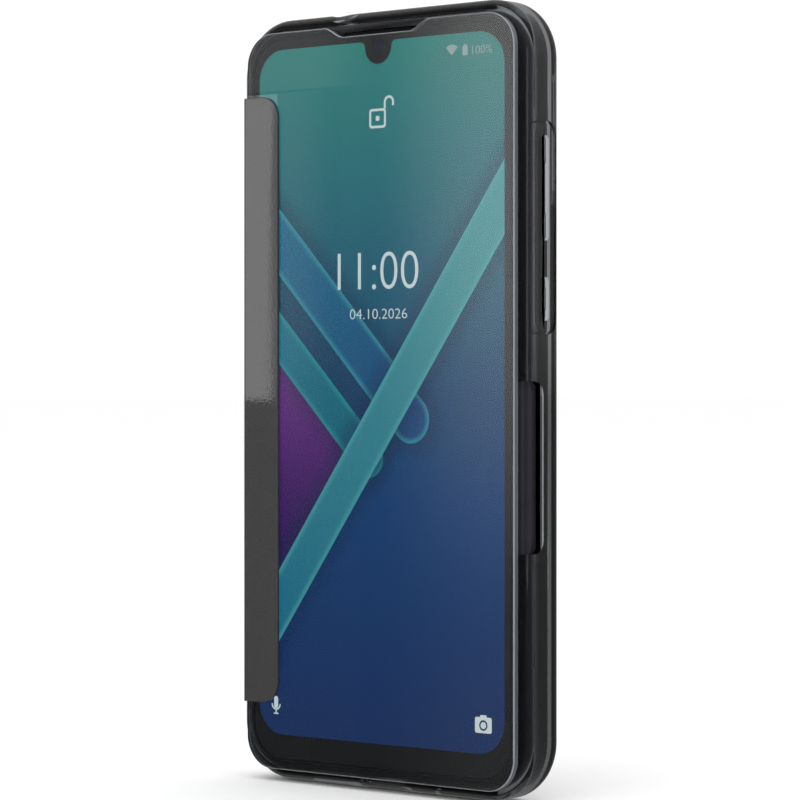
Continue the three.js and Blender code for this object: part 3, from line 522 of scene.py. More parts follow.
class Graph:
    """A small hand for wiring a material's nodes."""

    def __init__(self, name: str) -> None:
        """Starts an empty material with a principled surface.

        Args:
            name: The name of what is made.
        """
        self.material = bpy.data.materials.new(name)
        self.material.use_nodes = True
        self.tree = self.material.node_tree
        self.tree.nodes.clear()
        self.output = self.tree.nodes.new("ShaderNodeOutputMaterial")
        self.surface = self.tree.nodes.new("ShaderNodeBsdfPrincipled")
        self.link(self.surface.outputs["BSDF"], self.output.inputs["Surface"])

    def link(self, start: Any, end: Any) -> None:
        """Joins an output to an input."""
        self.tree.links.new(start, end)

    def node(self, kind: str, **settings: Any) -> Any:
        """Adds a node and sets its properties.

        Args:
            kind: The node's type, without its prefix.
            settings: The properties to set.

        Returns:
            The new node.
        """
        made = self.tree.nodes.new(f"ShaderNode{kind}")
        for name, value in settings.items():
            setattr(made, name, value)
        return made

    def feed(self, target: Any, value: Any) -> None:
        """Gives an input a link or a constant.

        Args:
            target: The input socket.
            value: A node output or a constant.
        """
        if isinstance(value, bpy.types.NodeSocket):
            self.link(value, target)
        else:
            target.default_value = value

    def calc(self, operation: str, *values: Any) -> Any:
        """Adds a Math node and gives its output.

        Args:
            operation: The operation, as Blender names it.
            values: Outputs or constants for the inputs, in order.

        Returns:
            The output.
        """
        made = self.node("Math", operation=operation)
        for target, value in zip(made.inputs, values):
            self.feed(target, value)
        return made.outputs[0]

    def object_point(self, scale: tuple[float, float, float] = (1.0, 1.0, 1.0),
                     shift: tuple[float, float, float] = (0.0, 0.0, 0.0)) -> Any:
        """Object coordinates through a Mapping node.

        Args:
            scale: The scale.
            shift: The shift.

        Returns:
            The coordinates.
        """
        mapping = self.node("Mapping")
        mapping.inputs["Scale"].default_value = scale
        mapping.inputs["Location"].default_value = shift
        self.link(self.node("TexCoord").outputs["Object"], mapping.inputs["Vector"])
        return mapping.outputs["Vector"]

    def noise(self, point: Any, scale: float, detail: float = 3.0, roughness: float = 0.5) -> Any:
        """A noise value from 0 to 1.

        Args:
            point: The coordinates to read.
            scale: The pattern's scale.
            detail: The number of octaves.
            roughness: How strong the finer octaves are.

        Returns:
            The output.
        """
        made = self.node("TexNoise")
        made.inputs["Scale"].default_value = scale
        made.inputs["Detail"].default_value = detail
        made.inputs["Roughness"].default_value = roughness
        self.link(point, made.inputs["Vector"])
        return made.outputs[0]

    def cells(self, point: Any, scale: float, feature: str = "F1") -> Any:
        """A cell pattern's distance.

        Args:
            point: The coordinates to read.
            scale: The pattern's scale.
            feature: Which distance is read.

        Returns:
            The output.
        """
        made = self.node("TexVoronoi", feature=feature)
        made.inputs["Scale"].default_value = scale
        self.link(point, made.inputs["Vector"])
        return made.outputs["Distance"]

    def spread(self, value: Any, low: float, high: float, to_low: float, to_high: float) -> Any:
        """Maps a range smoothly onto another.

        Args:
            value: A node output.
            low: The low end of the range read.
            high: The high end of the range read.
            to_low: What the low end becomes.
            to_high: What the high end becomes.

        Returns:
            The output.
        """
        made = self.node("MapRange", interpolation_type="SMOOTHSTEP")
        for place, number in ((1, low), (2, high), (3, to_low), (4, to_high)):
            made.inputs[place].default_value = number
        self.link(value, made.inputs[0])
        return made.outputs[0]

    def blend(self, share: Any, first: Any, second: Any) -> Any:
        """Mixes two colours by a share.

        Args:
            share: How much of the second colour shows.
            first: The first colour.
            second: The second colour.

        Returns:
            The output.
        """
        made = self.node("Mix", data_type="RGBA")
        self.feed(made.inputs[0], share)
        self.feed(made.inputs[6], first)
        self.feed(made.inputs[7], second)
        return made.outputs[2]

    def bump(self, height: Any, depth: float, strength: float) -> Any:
        """A bump of a depth in metres.

        Args:
            height: The pattern that gives the relief.
            depth: The full relief, in metres.
            strength: The share of the bump that shows.

        Returns:
            The output.
        """
        made = self.node("Bump")
        made.inputs["Strength"].default_value = strength
        made.inputs["Distance"].default_value = depth
        self.link(height, made.inputs["Height"])
        return made.outputs["Normal"]

    def mirror_switch(self, seen: Any, mirrored: Any) -> Any:
        """Gives one shader to direct and scattered rays, and another after a mirror bounce.

        Args:
            seen: The shader's output for direct and scattered rays.
            mirrored: The shader's output after a mirror bounce.

        Returns:
            The mixed shader's output.
        """
        mix = self.node("MixShader")
        depth = self.node("LightPath").outputs["Glossy Depth"]
        self.link(self.calc("MINIMUM", depth, 1.0), mix.inputs[0])
        self.link(seen, mix.inputs[1])
        self.link(mirrored, mix.inputs[2])
        return mix.outputs[0]

    def absorb(self, colour: Colour, density: float) -> None:
        """Fills the volume with a tint that grows with depth.

        Args:
            colour: The tint.
            density: How fast it darkens.
        """
        volume = self.node("VolumeAbsorption")
        volume.inputs["Color"].default_value = colour
        volume.inputs["Density"].default_value = density
        self.link(volume.outputs[0], self.output.inputs["Volume"])

    def set(self, **values: Any) -> None:
        """Sets the surface's own sockets: base_color for Base Color, and so on.

        Args:
            values: A value or node output for each socket.
        """
        for name, value in values.items():
            words = {"ior": "IOR", "specular_ior_level": "Specular IOR Level", "coat_ior": "Coat IOR"}
            self.feed(self.surface.inputs[words.get(name, name.replace("_", " ").title())], value)


class WorldGraph(Graph):
    """The same hand for a world's nodes."""

    def __init__(self, name: str) -> None:
        """Starts an empty world.

        Args:
            name: The name of what is made.
        """
        self.world = bpy.data.worlds.new(name)
        self.world.use_nodes = True
        self.tree = self.world.node_tree
        self.tree.nodes.clear()
        self.output = self.tree.nodes.new("ShaderNodeOutputWorld")


@dataclass(frozen=True)
class Finish:
    """What every finish shares: it makes a material and wires it."""

    def make(self, name: str) -> bpy.types.Material:
        """Builds the material.

        Args:
            name: The material's name.

        Returns:
            The new material.
        """
        graph = Graph(name)
        self.wire(graph)
        return graph.material

    def wire(self, graph: Graph) -> None:
        """Wires the finish's own nodes."""
        raise NotImplementedError


@dataclass(frozen=True)
class SmokeClear(Finish):
    """Smoke-tinted clear moulding: a polished skin with faint flow waves and a tint that grows with depth."""

    tint: Colour = tone(222, 225, 228)
    density: float = 240.0
    roughness: float = 0.035

    def wire(self, graph: Graph) -> None:
        """Wires the surface.

        Args:
            graph: The material's graph.
        """
        point = graph.object_point()
        waves = graph.noise(point, 90.0, 2.0)
        graph.set(
            base_color=graph.blend(graph.noise(point, 55.0), self.tint, tone(228, 231, 233)),
            transmission_weight=1.0, ior=1.49,
            roughness=graph.spread(graph.noise(point, 260.0, 4.0), 0.3, 0.8, self.roughness * 0.6,
                                   self.roughness * 1.5),
            normal=graph.bump(waves, 0.00006, 0.35),
        )
        graph.absorb((0.30, 0.315, 0.33, 1.0), self.density)


@dataclass(frozen=True)
class ClearPlate(Finish):
    """Hard clear plate with a faint smoke tint, polished bevels and a soft scratch-proof coat."""

    tint: Colour = tone(240, 243, 244)
    coat: float = 0.2
    coat_roughness: float = 0.3
    density: float = 90.0

    def wire(self, graph: Graph) -> None:
        """Wires the surface.

        Args:
            graph: The material's graph.
        """
        point = graph.object_point()
        graph.set(
            base_color=graph.blend(graph.noise(point, 40.0), self.tint, tone(236, 240, 242)),
            transmission_weight=1.0, ior=1.46,
            roughness=graph.spread(graph.noise(point, 900.0, 4.0), 0.35, 0.9, 0.0, 0.02),
            coat_weight=self.coat, coat_roughness=self.coat_roughness, coat_ior=1.5,
        )
        graph.absorb((0.62, 0.70, 0.70, 1.0), self.density)


@dataclass(frozen=True)
class PaintedEdgeGlint(Finish):
    """The plate's bevel and cut edge, painted pale: a painted highlight for the light that glints along the
    edge.
    """

    colour: Colour = tone(190, 197, 204)
    lines: Colour = tone(160, 168, 176)

    def wire(self, graph: Graph) -> None:
        """Wires the surface.

        Args:
            graph: The material's graph.
        """
        # The pale colours are a painted highlight for the edge's glint, streaked lengthwise by the lines.
        lines = graph.noise(graph.object_point((1.0, 6.0, 0.02)), 2500.0, 3.0)
        graph.set(base_color=graph.blend(lines, self.lines, self.colour), transmission_weight=0.45,
                  ior=1.46, roughness=graph.spread(lines, 0.3, 0.7, 0.12, 0.22),
                  normal=graph.bump(lines, 0.00001, 0.3), coat_weight=1.0)


@dataclass(frozen=True)
class LeatherLook(Finish):
    """Imitation leather: closed pores and creases under a thin clear coat."""

    colour: Colour = tone(55, 55, 56)
    pore_scale: float = 2600.0
    coat: float = 1.0
    coat_roughness: float = 0.02

    def wire(self, graph: Graph) -> None:
        """Wires the surface.

        Args:
            graph: The material's graph.
        """
        point = graph.object_point()
        pores = graph.cells(point, self.pore_scale, "SMOOTH_F1")
        creases = graph.cells(point, self.pore_scale * 0.45, "DISTANCE_TO_EDGE")
        grain = graph.calc("ADD", pores, graph.spread(creases, 0.0, 0.25, 0.0, 0.6))
        mottle = graph.noise(point, 700.0, 5.0, 0.6)
        cloud = graph.calc("ADD", mottle, graph.calc("MULTIPLY", pores, 0.5))
        shade = graph.spread(cloud, 0.4, 1.3, 0.0, 1.0)
        graph.set(
            base_color=graph.blend(shade, scaled(self.colour, 0.84), scaled(self.colour, 1.16)),
            roughness=graph.spread(mottle, 0.3, 0.7, 0.5, 0.66),
            specular_ior_level=0.4,
            normal=graph.bump(grain, 0.00006, 0.6),
            coat_weight=self.coat, coat_roughness=self.coat_roughness, coat_ior=1.5,
            coat_normal=graph.bump(grain, 0.00001, 0.06),
        )


@dataclass(frozen=True)
class BorderGlass(Finish):
    """Black-bordered cover glass: printed black under gloss, a shade warmer where the print thins."""

    colour: Colour = tone(36, 37, 39)

    def wire(self, graph: Graph) -> None:
        """Wires the surface.

        Args:
            graph: The material's graph.
        """
        point = graph.object_point()
        graph.set(
            base_color=graph.blend(graph.noise(point, 120.0, 4.0), self.colour, tone(41, 42, 44)),
            roughness=graph.spread(graph.noise(point, 500.0, 5.0), 0.35, 0.8, 0.16, 0.24),
            ior=1.5,
        )


@dataclass(frozen=True)
class Band:
    """One diagonal ribbon of the screen's picture, in millimetres from the screen's lower left corner."""

    start: tuple[float, float]
    end: tuple[float, float]
    width: float
    near: Colour
    far: Colour
    edge: Colour


@dataclass(frozen=True)
class LitScreen(Finish):
    """A lit display whose picture is a sky-to-deep gradient crossed by diagonal ribbons."""

    origin: Vector
    height: float
    stops: tuple[tuple[float, Colour], ...] = (
        (0.0, tone(26, 50, 96)), (0.14, tone(18, 54, 104)), (0.34, tone(1, 62, 116)), (0.5, tone(1, 70, 112)),
        (0.68, tone(13, 96, 118)), (0.84, tone(28, 116, 124)), (1.0, tone(42, 132, 124)),
    )
    shadow: Colour = tone(0, 36, 74)
    shadow_width: float = 5.0
    bands: tuple[Band, ...] = (
        Band((-9, 116), (41, 65), 9.5, tone(14, 120, 146), tone(3, 70, 124), tone(66, 168, 176)),
        Band((-9, 96), (30, 57), 7.5, tone(16, 128, 150), tone(2, 96, 120), tone(40, 160, 160)),
        Band((72, 118), (-8, 8), 8.5, tone(70, 158, 158), tone(2, 100, 134), tone(84, 176, 178)),
    )

    def distance(self) -> bpy.types.NodeTree:
        """Makes the node group that measures how far a point lies from a ribbon's middle line.

        Returns:
            A group that gives the distance and the share along the line.
        """
        group = bpy.data.node_groups.new("ribbon_distance", "ShaderNodeTree")
        for name in ("Point", "Start", "Run"):
            group.interface.new_socket(name, in_out="INPUT", socket_type="NodeSocketVector")
        for name in ("Distance", "Along"):
            group.interface.new_socket(name, in_out="OUTPUT", socket_type="NodeSocketFloat")
        inner = group.nodes.new("NodeGroupInput")
        outer = group.nodes.new("NodeGroupOutput")

        def vector(operation: str, *sources: Any) -> Any:
            """Adds a Vector Math node fed by the sources.

            Args:
                operation: The operation, as Blender names it.
                sources: Outputs for the inputs, in order.

            Returns:
                The node.
            """
            made = group.nodes.new("ShaderNodeVectorMath")
            made.operation = operation
            for target, source in zip(made.inputs, sources):
                group.links.new(source, target)
            return made

        offset = vector("SUBTRACT", inner.outputs["Point"], inner.outputs["Start"]).outputs[0]
        share = group.nodes.new("ShaderNodeMath")
        share.operation = "DIVIDE"
        share.use_clamp = True
        group.links.new(vector("DOT_PRODUCT", offset, inner.outputs["Run"]).outputs["Value"], share.inputs[0])
        group.links.new(vector("DOT_PRODUCT", inner.outputs["Run"], inner.outputs["Run"]).outputs["Value"],
                        share.inputs[1])
        reach = group.nodes.new("ShaderNodeVectorMath")
        reach.operation = "SCALE"
        group.links.new(inner.outputs["Run"], reach.inputs[0])
        group.links.new(share.outputs[0], reach.inputs["Scale"])
        gap = vector("DISTANCE", offset, reach.outputs[0])
        group.links.new(gap.outputs["Value"], outer.inputs["Distance"])
        group.links.new(share.outputs[0], outer.inputs["Along"])
        return group

    def wire(self, graph: Graph) -> None:
        """Wires the surface.

        Args:
            graph: The material's graph.
        """
        scale = 1 / MM
        point = graph.object_point((scale, 0.0, scale), (-self.origin.x * scale, 0.0, -self.origin.z * scale))
        parts = graph.node("SeparateXYZ")
        graph.link(point, parts.inputs[0])
        across, up = parts.outputs["X"], parts.outputs["Z"]
        ramp = graph.node("ValToRGB")
        while len(ramp.color_ramp.elements) < len(self.stops):
            ramp.color_ramp.elements.new(0.5)
        for element, (place, colour) in zip(ramp.color_ramp.elements, self.stops):
            element.position = place
            element.color = colour
        graph.link(graph.calc("DIVIDE", up, self.height), ramp.inputs[0])
        picture = ramp.outputs[0]
        group = self.distance()
        measured = []
        for band in self.bands:
            made = graph.node("Group", node_tree=group)
            graph.link(point, made.inputs["Point"])
            made.inputs["Start"].default_value = (band.start[0], 0.0, band.start[1])
            made.inputs["Run"].default_value = (band.end[0] - band.start[0], 0.0, band.end[1] - band.start[1])
            measured.append(made)
        upper, lower = self.bands[1], self.bands[2]
        below_upper = self.side(graph, across, up, upper, -1.0)
        above_lower = self.side(graph, across, up, lower, 1.0)
        wedge = graph.calc("MULTIPLY", below_upper, above_lower)
        violet = graph.blend(graph.spread(up, 30.0, 84.0, 0.0, 1.0), tone(36, 18, 84), tone(104, 40, 128))
        picture = graph.blend(wedge, picture, violet)
        for band, made in zip(self.bands, measured):
            half = band.width / 2
            shadow = graph.spread(made.outputs["Distance"], half, half + self.shadow_width, 0.42, 0.0)
            picture = graph.blend(shadow, picture, self.shadow)
            body = graph.blend(made.outputs["Along"], band.near, band.far)
            rim = graph.spread(made.outputs["Distance"], half - 1.4, half, 0.0, 0.55)
            body = graph.blend(rim, body, band.edge)
            inside = graph.spread(made.outputs["Distance"], half, half + 0.12, 1.0, 0.0)
            picture = graph.blend(inside, picture, body)
        graph.set(base_color=(0.002, 0.002, 0.003, 1.0), roughness=0.6, specular_ior_level=0.0,
                  emission_color=picture, emission_strength=1.0)

    @staticmethod
    def side(graph: Graph, across: Any, up: Any, band: Band, way: float) -> Any:
        """Gives 1 on one side of a ribbon's middle line and 0 on the other, as a node output.

        Args:
            graph: The material's graph.
            across: The place across the screen, in millimetres.
            up: The place up the screen, in millimetres.
            band: The ribbon.
            way: 1.0 for the side above the line, -1.0 for the side below.

        Returns:
            The share, as a node output.
        """
        slope = (band.end[1] - band.start[1]) / (band.end[0] - band.start[0])
        line = graph.calc("MULTIPLY_ADD", graph.calc("SUBTRACT", across, band.start[0]), slope, band.start[1])
        gap = graph.calc("MULTIPLY", graph.calc("SUBTRACT", up, line), way)
        return graph.spread(gap, -0.1, 0.1, 0.0, 1.0)


@dataclass(frozen=True)
class Glow(Finish):
    """Lit figures and signs on the screen, with the fine grid of the display in them."""

    colour: Colour = tone(225, 236, 236)
    strength: float = 0.9

    def wire(self, graph: Graph) -> None:
        """Wires the surface.

        Args:
            graph: The material's graph.
        """
        grid = graph.spread(graph.noise(graph.object_point(), 4000.0), 0.3, 0.7, 0.0, 1.0)
        graph.set(base_color=(0.02, 0.02, 0.02, 1.0), roughness=0.3,
                  emission_color=graph.blend(grid, scaled(self.colour, 0.93), self.colour),
                  emission_strength=self.strength)


class Texture(Enum):
    """The surface detail of a plain finish."""

    MOULDED = "moulded"
    BRUSHED = "brushed"
    WRAPPED = "wrapped"
    PRINTED = "printed"
    FLAKED = "flaked"


@dataclass(frozen=True)
class Plain(Finish):
    """An opaque finish: one colour that varies a little, with the texture of its making."""

    colour: Colour
    roughness: float
    texture: Texture = Texture.MOULDED
    metallic: float = 0.0
    coat: float = 0.0
    relief: float = 0.00002

    def wire(self, graph: Graph) -> None:
        """Wires the surface.

        Args:
            graph: The material's graph.
        """
        stretch = {Texture.BRUSHED: (1.0, 1.0, 0.04), Texture.WRAPPED: (1.0, 1.0, 0.25)}
        point = graph.object_point(stretch.get(self.texture, (1.0, 1.0, 1.0)))
        if self.texture is Texture.PRINTED:
            height = graph.spread(graph.cells(point, 700.0, "DISTANCE_TO_EDGE"), 0.04, 0.09, 1.0, 0.0)
        elif self.texture is Texture.BRUSHED:
            height = graph.noise(point, 9000.0, 3.0)
        elif self.texture is Texture.FLAKED:
            height = graph.noise(point, 14000.0, 2.0)
        else:
            height = graph.noise(point, 3200.0, 4.0)
        cloud = graph.noise(point, 160.0, 3.0)
        share = graph.calc("MULTIPLY_ADD", height, 0.35, graph.calc("MULTIPLY", cloud, 0.65))
        graph.set(
            base_color=graph.blend(share, scaled(self.colour, 0.82), scaled(self.colour, 1.18)),
            metallic=self.metallic,
            roughness=graph.spread(share, 0.2, 0.8, self.roughness * 0.85, min(1.0, self.roughness * 1.15)),
            normal=graph.bump(height, self.relief, 0.5),
            coat_weight=self.coat,
        )


class FinishShelf:
    """Makes each finish once and hands it out by the record's slot name."""

    def __init__(self) -> None:
        """Lists the finish of each slot."""
        self.recipes: dict[str, Any] = {
            "smoke_shell": SmokeClear(),
            "smoke_window": ClearPlate(),
            "grey_leather": LeatherLook(),
            "cover_glass": BorderGlass(),
            "screen": Plain(tone(20, 26, 34), 0.15),
            "backlight_film": Plain(tone(228, 228, 222), 0.5),
            "handset_side": Plain(tone(62, 60, 70), 0.3, Texture.FLAKED, metallic=0.7, relief=0.000004),
            "key_metal": Plain(tone(150, 150, 153), 0.28, Texture.BRUSHED, metallic=0.9, relief=0.000004),
            "black_plastic": Plain(tone(26, 27, 29), 0.5),
            "circuit_board": Plain(tone(20, 74, 50), 0.45, Texture.PRINTED),
            "tin_can": Plain(tone(190, 192, 196), 0.3, Texture.BRUSHED, metallic=0.95),
            "bright_steel": Plain(tone(172, 174, 178), 0.22, Texture.BRUSHED, metallic=1.0),
            "battery_wrap": Plain(tone(58, 61, 66), 0.42, Texture.WRAPPED),
            "copper_flex": Plain(tone(170, 112, 44), 0.35, Texture.PRINTED, coat=0.5),
            "lens": Plain(tone(8, 9, 16), 0.05, coat=1.0, relief=0.000001),
            "flash_lens": Plain(tone(236, 230, 200), 0.35, Texture.PRINTED, coat=0.6),
            "fine_mesh": Plain(tone(30, 30, 32), 0.45, metallic=0.4),
        }
        self.made: dict[str, bpy.types.Material] = {}

    def get(self, slot: str) -> bpy.types.Material:
        """Gives the finish of a slot, made at its first use.

        Args:
            slot: The slot's name.

        Returns:
            The material.
        """
        if slot not in self.made:
            self.made[slot] = self.recipes[slot].make(f"finish_{slot}")
        return self.made[slot]

    def dress(self, piece: bpy.types.Object, slot: str) -> bpy.types.Object:
        """Puts a slot's finish on a piece, all over.

        Args:
            piece: The piece to work on.
            slot: The slot's name.

        Returns:
            The same piece.
        """
        material = self.get(slot)
        if "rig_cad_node" not in piece:
            Bench.paint(piece, material)
        for place in piece.material_slots:
            place.material = material
        return piece


@dataclass
class SubAssembly:
    """What every sub-assembly shares: its finishes, its bench and the way that it hands pieces over."""

    shelf: FinishShelf
    bench: type = field(default=Bench, init=False)

    def hand_over(self, piece: bpy.types.Object, body: str, slot: str, *nodes: str) -> bpy.types.Object:
        """Dresses a piece, lets it ride on a body and hides the CAD nodes that it stands for.

        Args:
            piece: The piece to work on.
            body: The body to ride on.
            slot: The record's slot name.
            nodes: The CAD nodes that the piece stands for.

        Returns:
            The same piece.
        """
        self.shelf.dress(piece, slot)
        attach(piece, body)
        if nodes:
            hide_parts(*nodes)
        LOG.info("%s rides on %s, %d faces", piece.name, body, len(piece.data.polygons))
        return piece


@dataclass
class FolioShell(SubAssembly):
    """The clip-on shell: a clear tray with its openings, scooped round the side keys."""

    corner: float = 11.8
    front_rim: float = 3.5
    rear_rim: float = 3.0
    fit: float = 0.1
    lip_rise: float = 0.45
    lip_inset: float = 2.45
    handset_corner: float = 10.2
    handset_rim: float = 2.6
    key_flange: float = 0.45
    scoop_depth: float = 0.55
    thumb_gap: float = 12
    thumb_length: float = 33.4
    thumb_height: float = 4.6
    thumb_depth: float = 6.2
    camera_margin: float = 1.4

    def build(self) -> bpy.types.Object:
        """Builds the shell and hands it over.

        Returns:
            The shell.
        """
        shell, handset = Span.of("back_shell"), Span.of("front_frame", "back_cover")
        tray = self.bench.slab("smoke_tray", Axis.Y, shell, self.corner, self.front_rim, self.rear_rim,
                               20, 10)
        room = handset.grown(self.fit, self.fit, self.fit)
        cavity = self.bench.slab("cavity", Axis.Y, room, self.handset_corner + self.fit,
                                 self.handset_rim + self.fit, self.handset_rim + self.fit, 20, 8)
        inset = self.lip_inset
        mouth_span = handset.grown(-inset, 0, -inset).with_side(
            Axis.Y, shell.low.y - 2 * MM, handset.low.y + self.lip_rise * MM)
        mouth = self.bench.slab("mouth", Axis.Y, mouth_span, self.handset_corner - inset, segments=23)
        self.bench.cut(tray, self.bench.fuse(cavity, mouth))
        self.bench.cut(tray, *self.side_openings(shell), *self.end_openings(shell, handset))
        self.bench.cut(tray, self.camera_opening(shell, handset))
        self.bench.smooth(tray, 28.0)
        return self.hand_over(tray, "handset", "smoke_shell", "back_shell")

    def side_openings(self, shell: Span) -> list[bpy.types.Object]:
        """Makes the tools for the scoop, the two key slots and the thumb cut.

        Args:
            shell: The shell's box.

        Returns:
            The cutting shapes.
        """
        volume, power, handset = Span.of("volume_rocker"), Span.of("power_key"), Span.of("back_cover")
        middle = volume.centre.y
        outer = shell.high.x
        flange = self.key_flange * MM
        top, bottom = volume.high.z - flange, power.low.z + flange
        scoop_span = Span(Vector((outer - self.scoop_depth * MM, middle - 3.65 * MM, bottom - 3 * MM)),
                          Vector((outer + 2 * MM, middle + 2.95 * MM, top + 3 * MM)))
        tools = [self.bench.slab("scoop", Axis.X, scoop_span, 3.29, 0.4, segments=14, rim_segments=5)]
        for name, key in (("volume_slot", volume), ("power_slot", power)):
            reach = 1.1 * MM
            slot_span = Span(Vector((handset.high.x - self.fit * MM, middle - reach, key.low.z + 0.1 * MM)),
                             Vector((outer + 2 * MM, middle + reach, key.high.z - 0.1 * MM)))
            tools.append(self.bench.slab(name, Axis.X, slot_span, 1.09, segments=10))
        thumb_top = bottom - self.thumb_gap * MM
        front = shell.low.y - 4.8 * MM
        thumb_span = Span(Vector((outer - self.thumb_depth * MM, front, thumb_top - self.thumb_length * MM)),
                          Vector((outer + 2 * MM, shell.low.y + self.thumb_height * MM, thumb_top)))
        tools.append(self.bench.slab("thumb", Axis.X, thumb_span, 2.8, segments=12))
        return tools

    def end_openings(self, shell: Span, handset: Span) -> list[bpy.types.Object]:
        """Makes the tools for the plug, sound and microphone openings in the two ends.

        Args:
            shell: The shell's box.
            handset: The handset's box.

        Returns:
            The cutting shapes.
        """
        jack, usb = Span.of("headphone_jack"), Span.of("usb_receptacle")
        port_y = usb.centre.y
        middle_x = usb.centre.x
        tools = [self.bench.bar("jack_way", Axis.Z, Vector((jack.centre.x, port_y, shell.high.z)), 4.1 * MM,
                                3.2 * MM)]
        slots = (("usb_way", middle_x, 13.0, 7.0), ("sound_way", middle_x - 14.8 * MM, 14.4, 4.0),
                 ("voice_way", middle_x + 12 * MM, 2.0, 2.0))
        for name, x, wide, deep in slots:
            half = Vector((wide / 2, deep / 2, 0)) * MM
            at = Vector((x, port_y, 0))
            span = Span(Vector((at.x - half.x, at.y - half.y, shell.low.z - 2 * MM)),
                        Vector((at.x + half.x, at.y + half.y, handset.low.z)))
            tools.append(self.bench.slab(name, Axis.Z, span, min(wide, deep) / 2 - 0.01, segments=10))
        return tools

    def camera_opening(self, shell: Span, handset: Span) -> bpy.types.Object:
        """Makes the tool for the rear camera window.

        Args:
            shell: The shell's box.
            handset: The handset's box.

        Returns:
            The cutting shape.
        """
        bezel = Span.of("camera_bezel").grown(self.camera_margin, 0, self.camera_margin).with_side(
            Axis.Y, handset.high.y, shell.high.y + 2 * MM)
        return self.bench.slab("camera_way", Axis.Y, bezel, 6.7, segments=16)


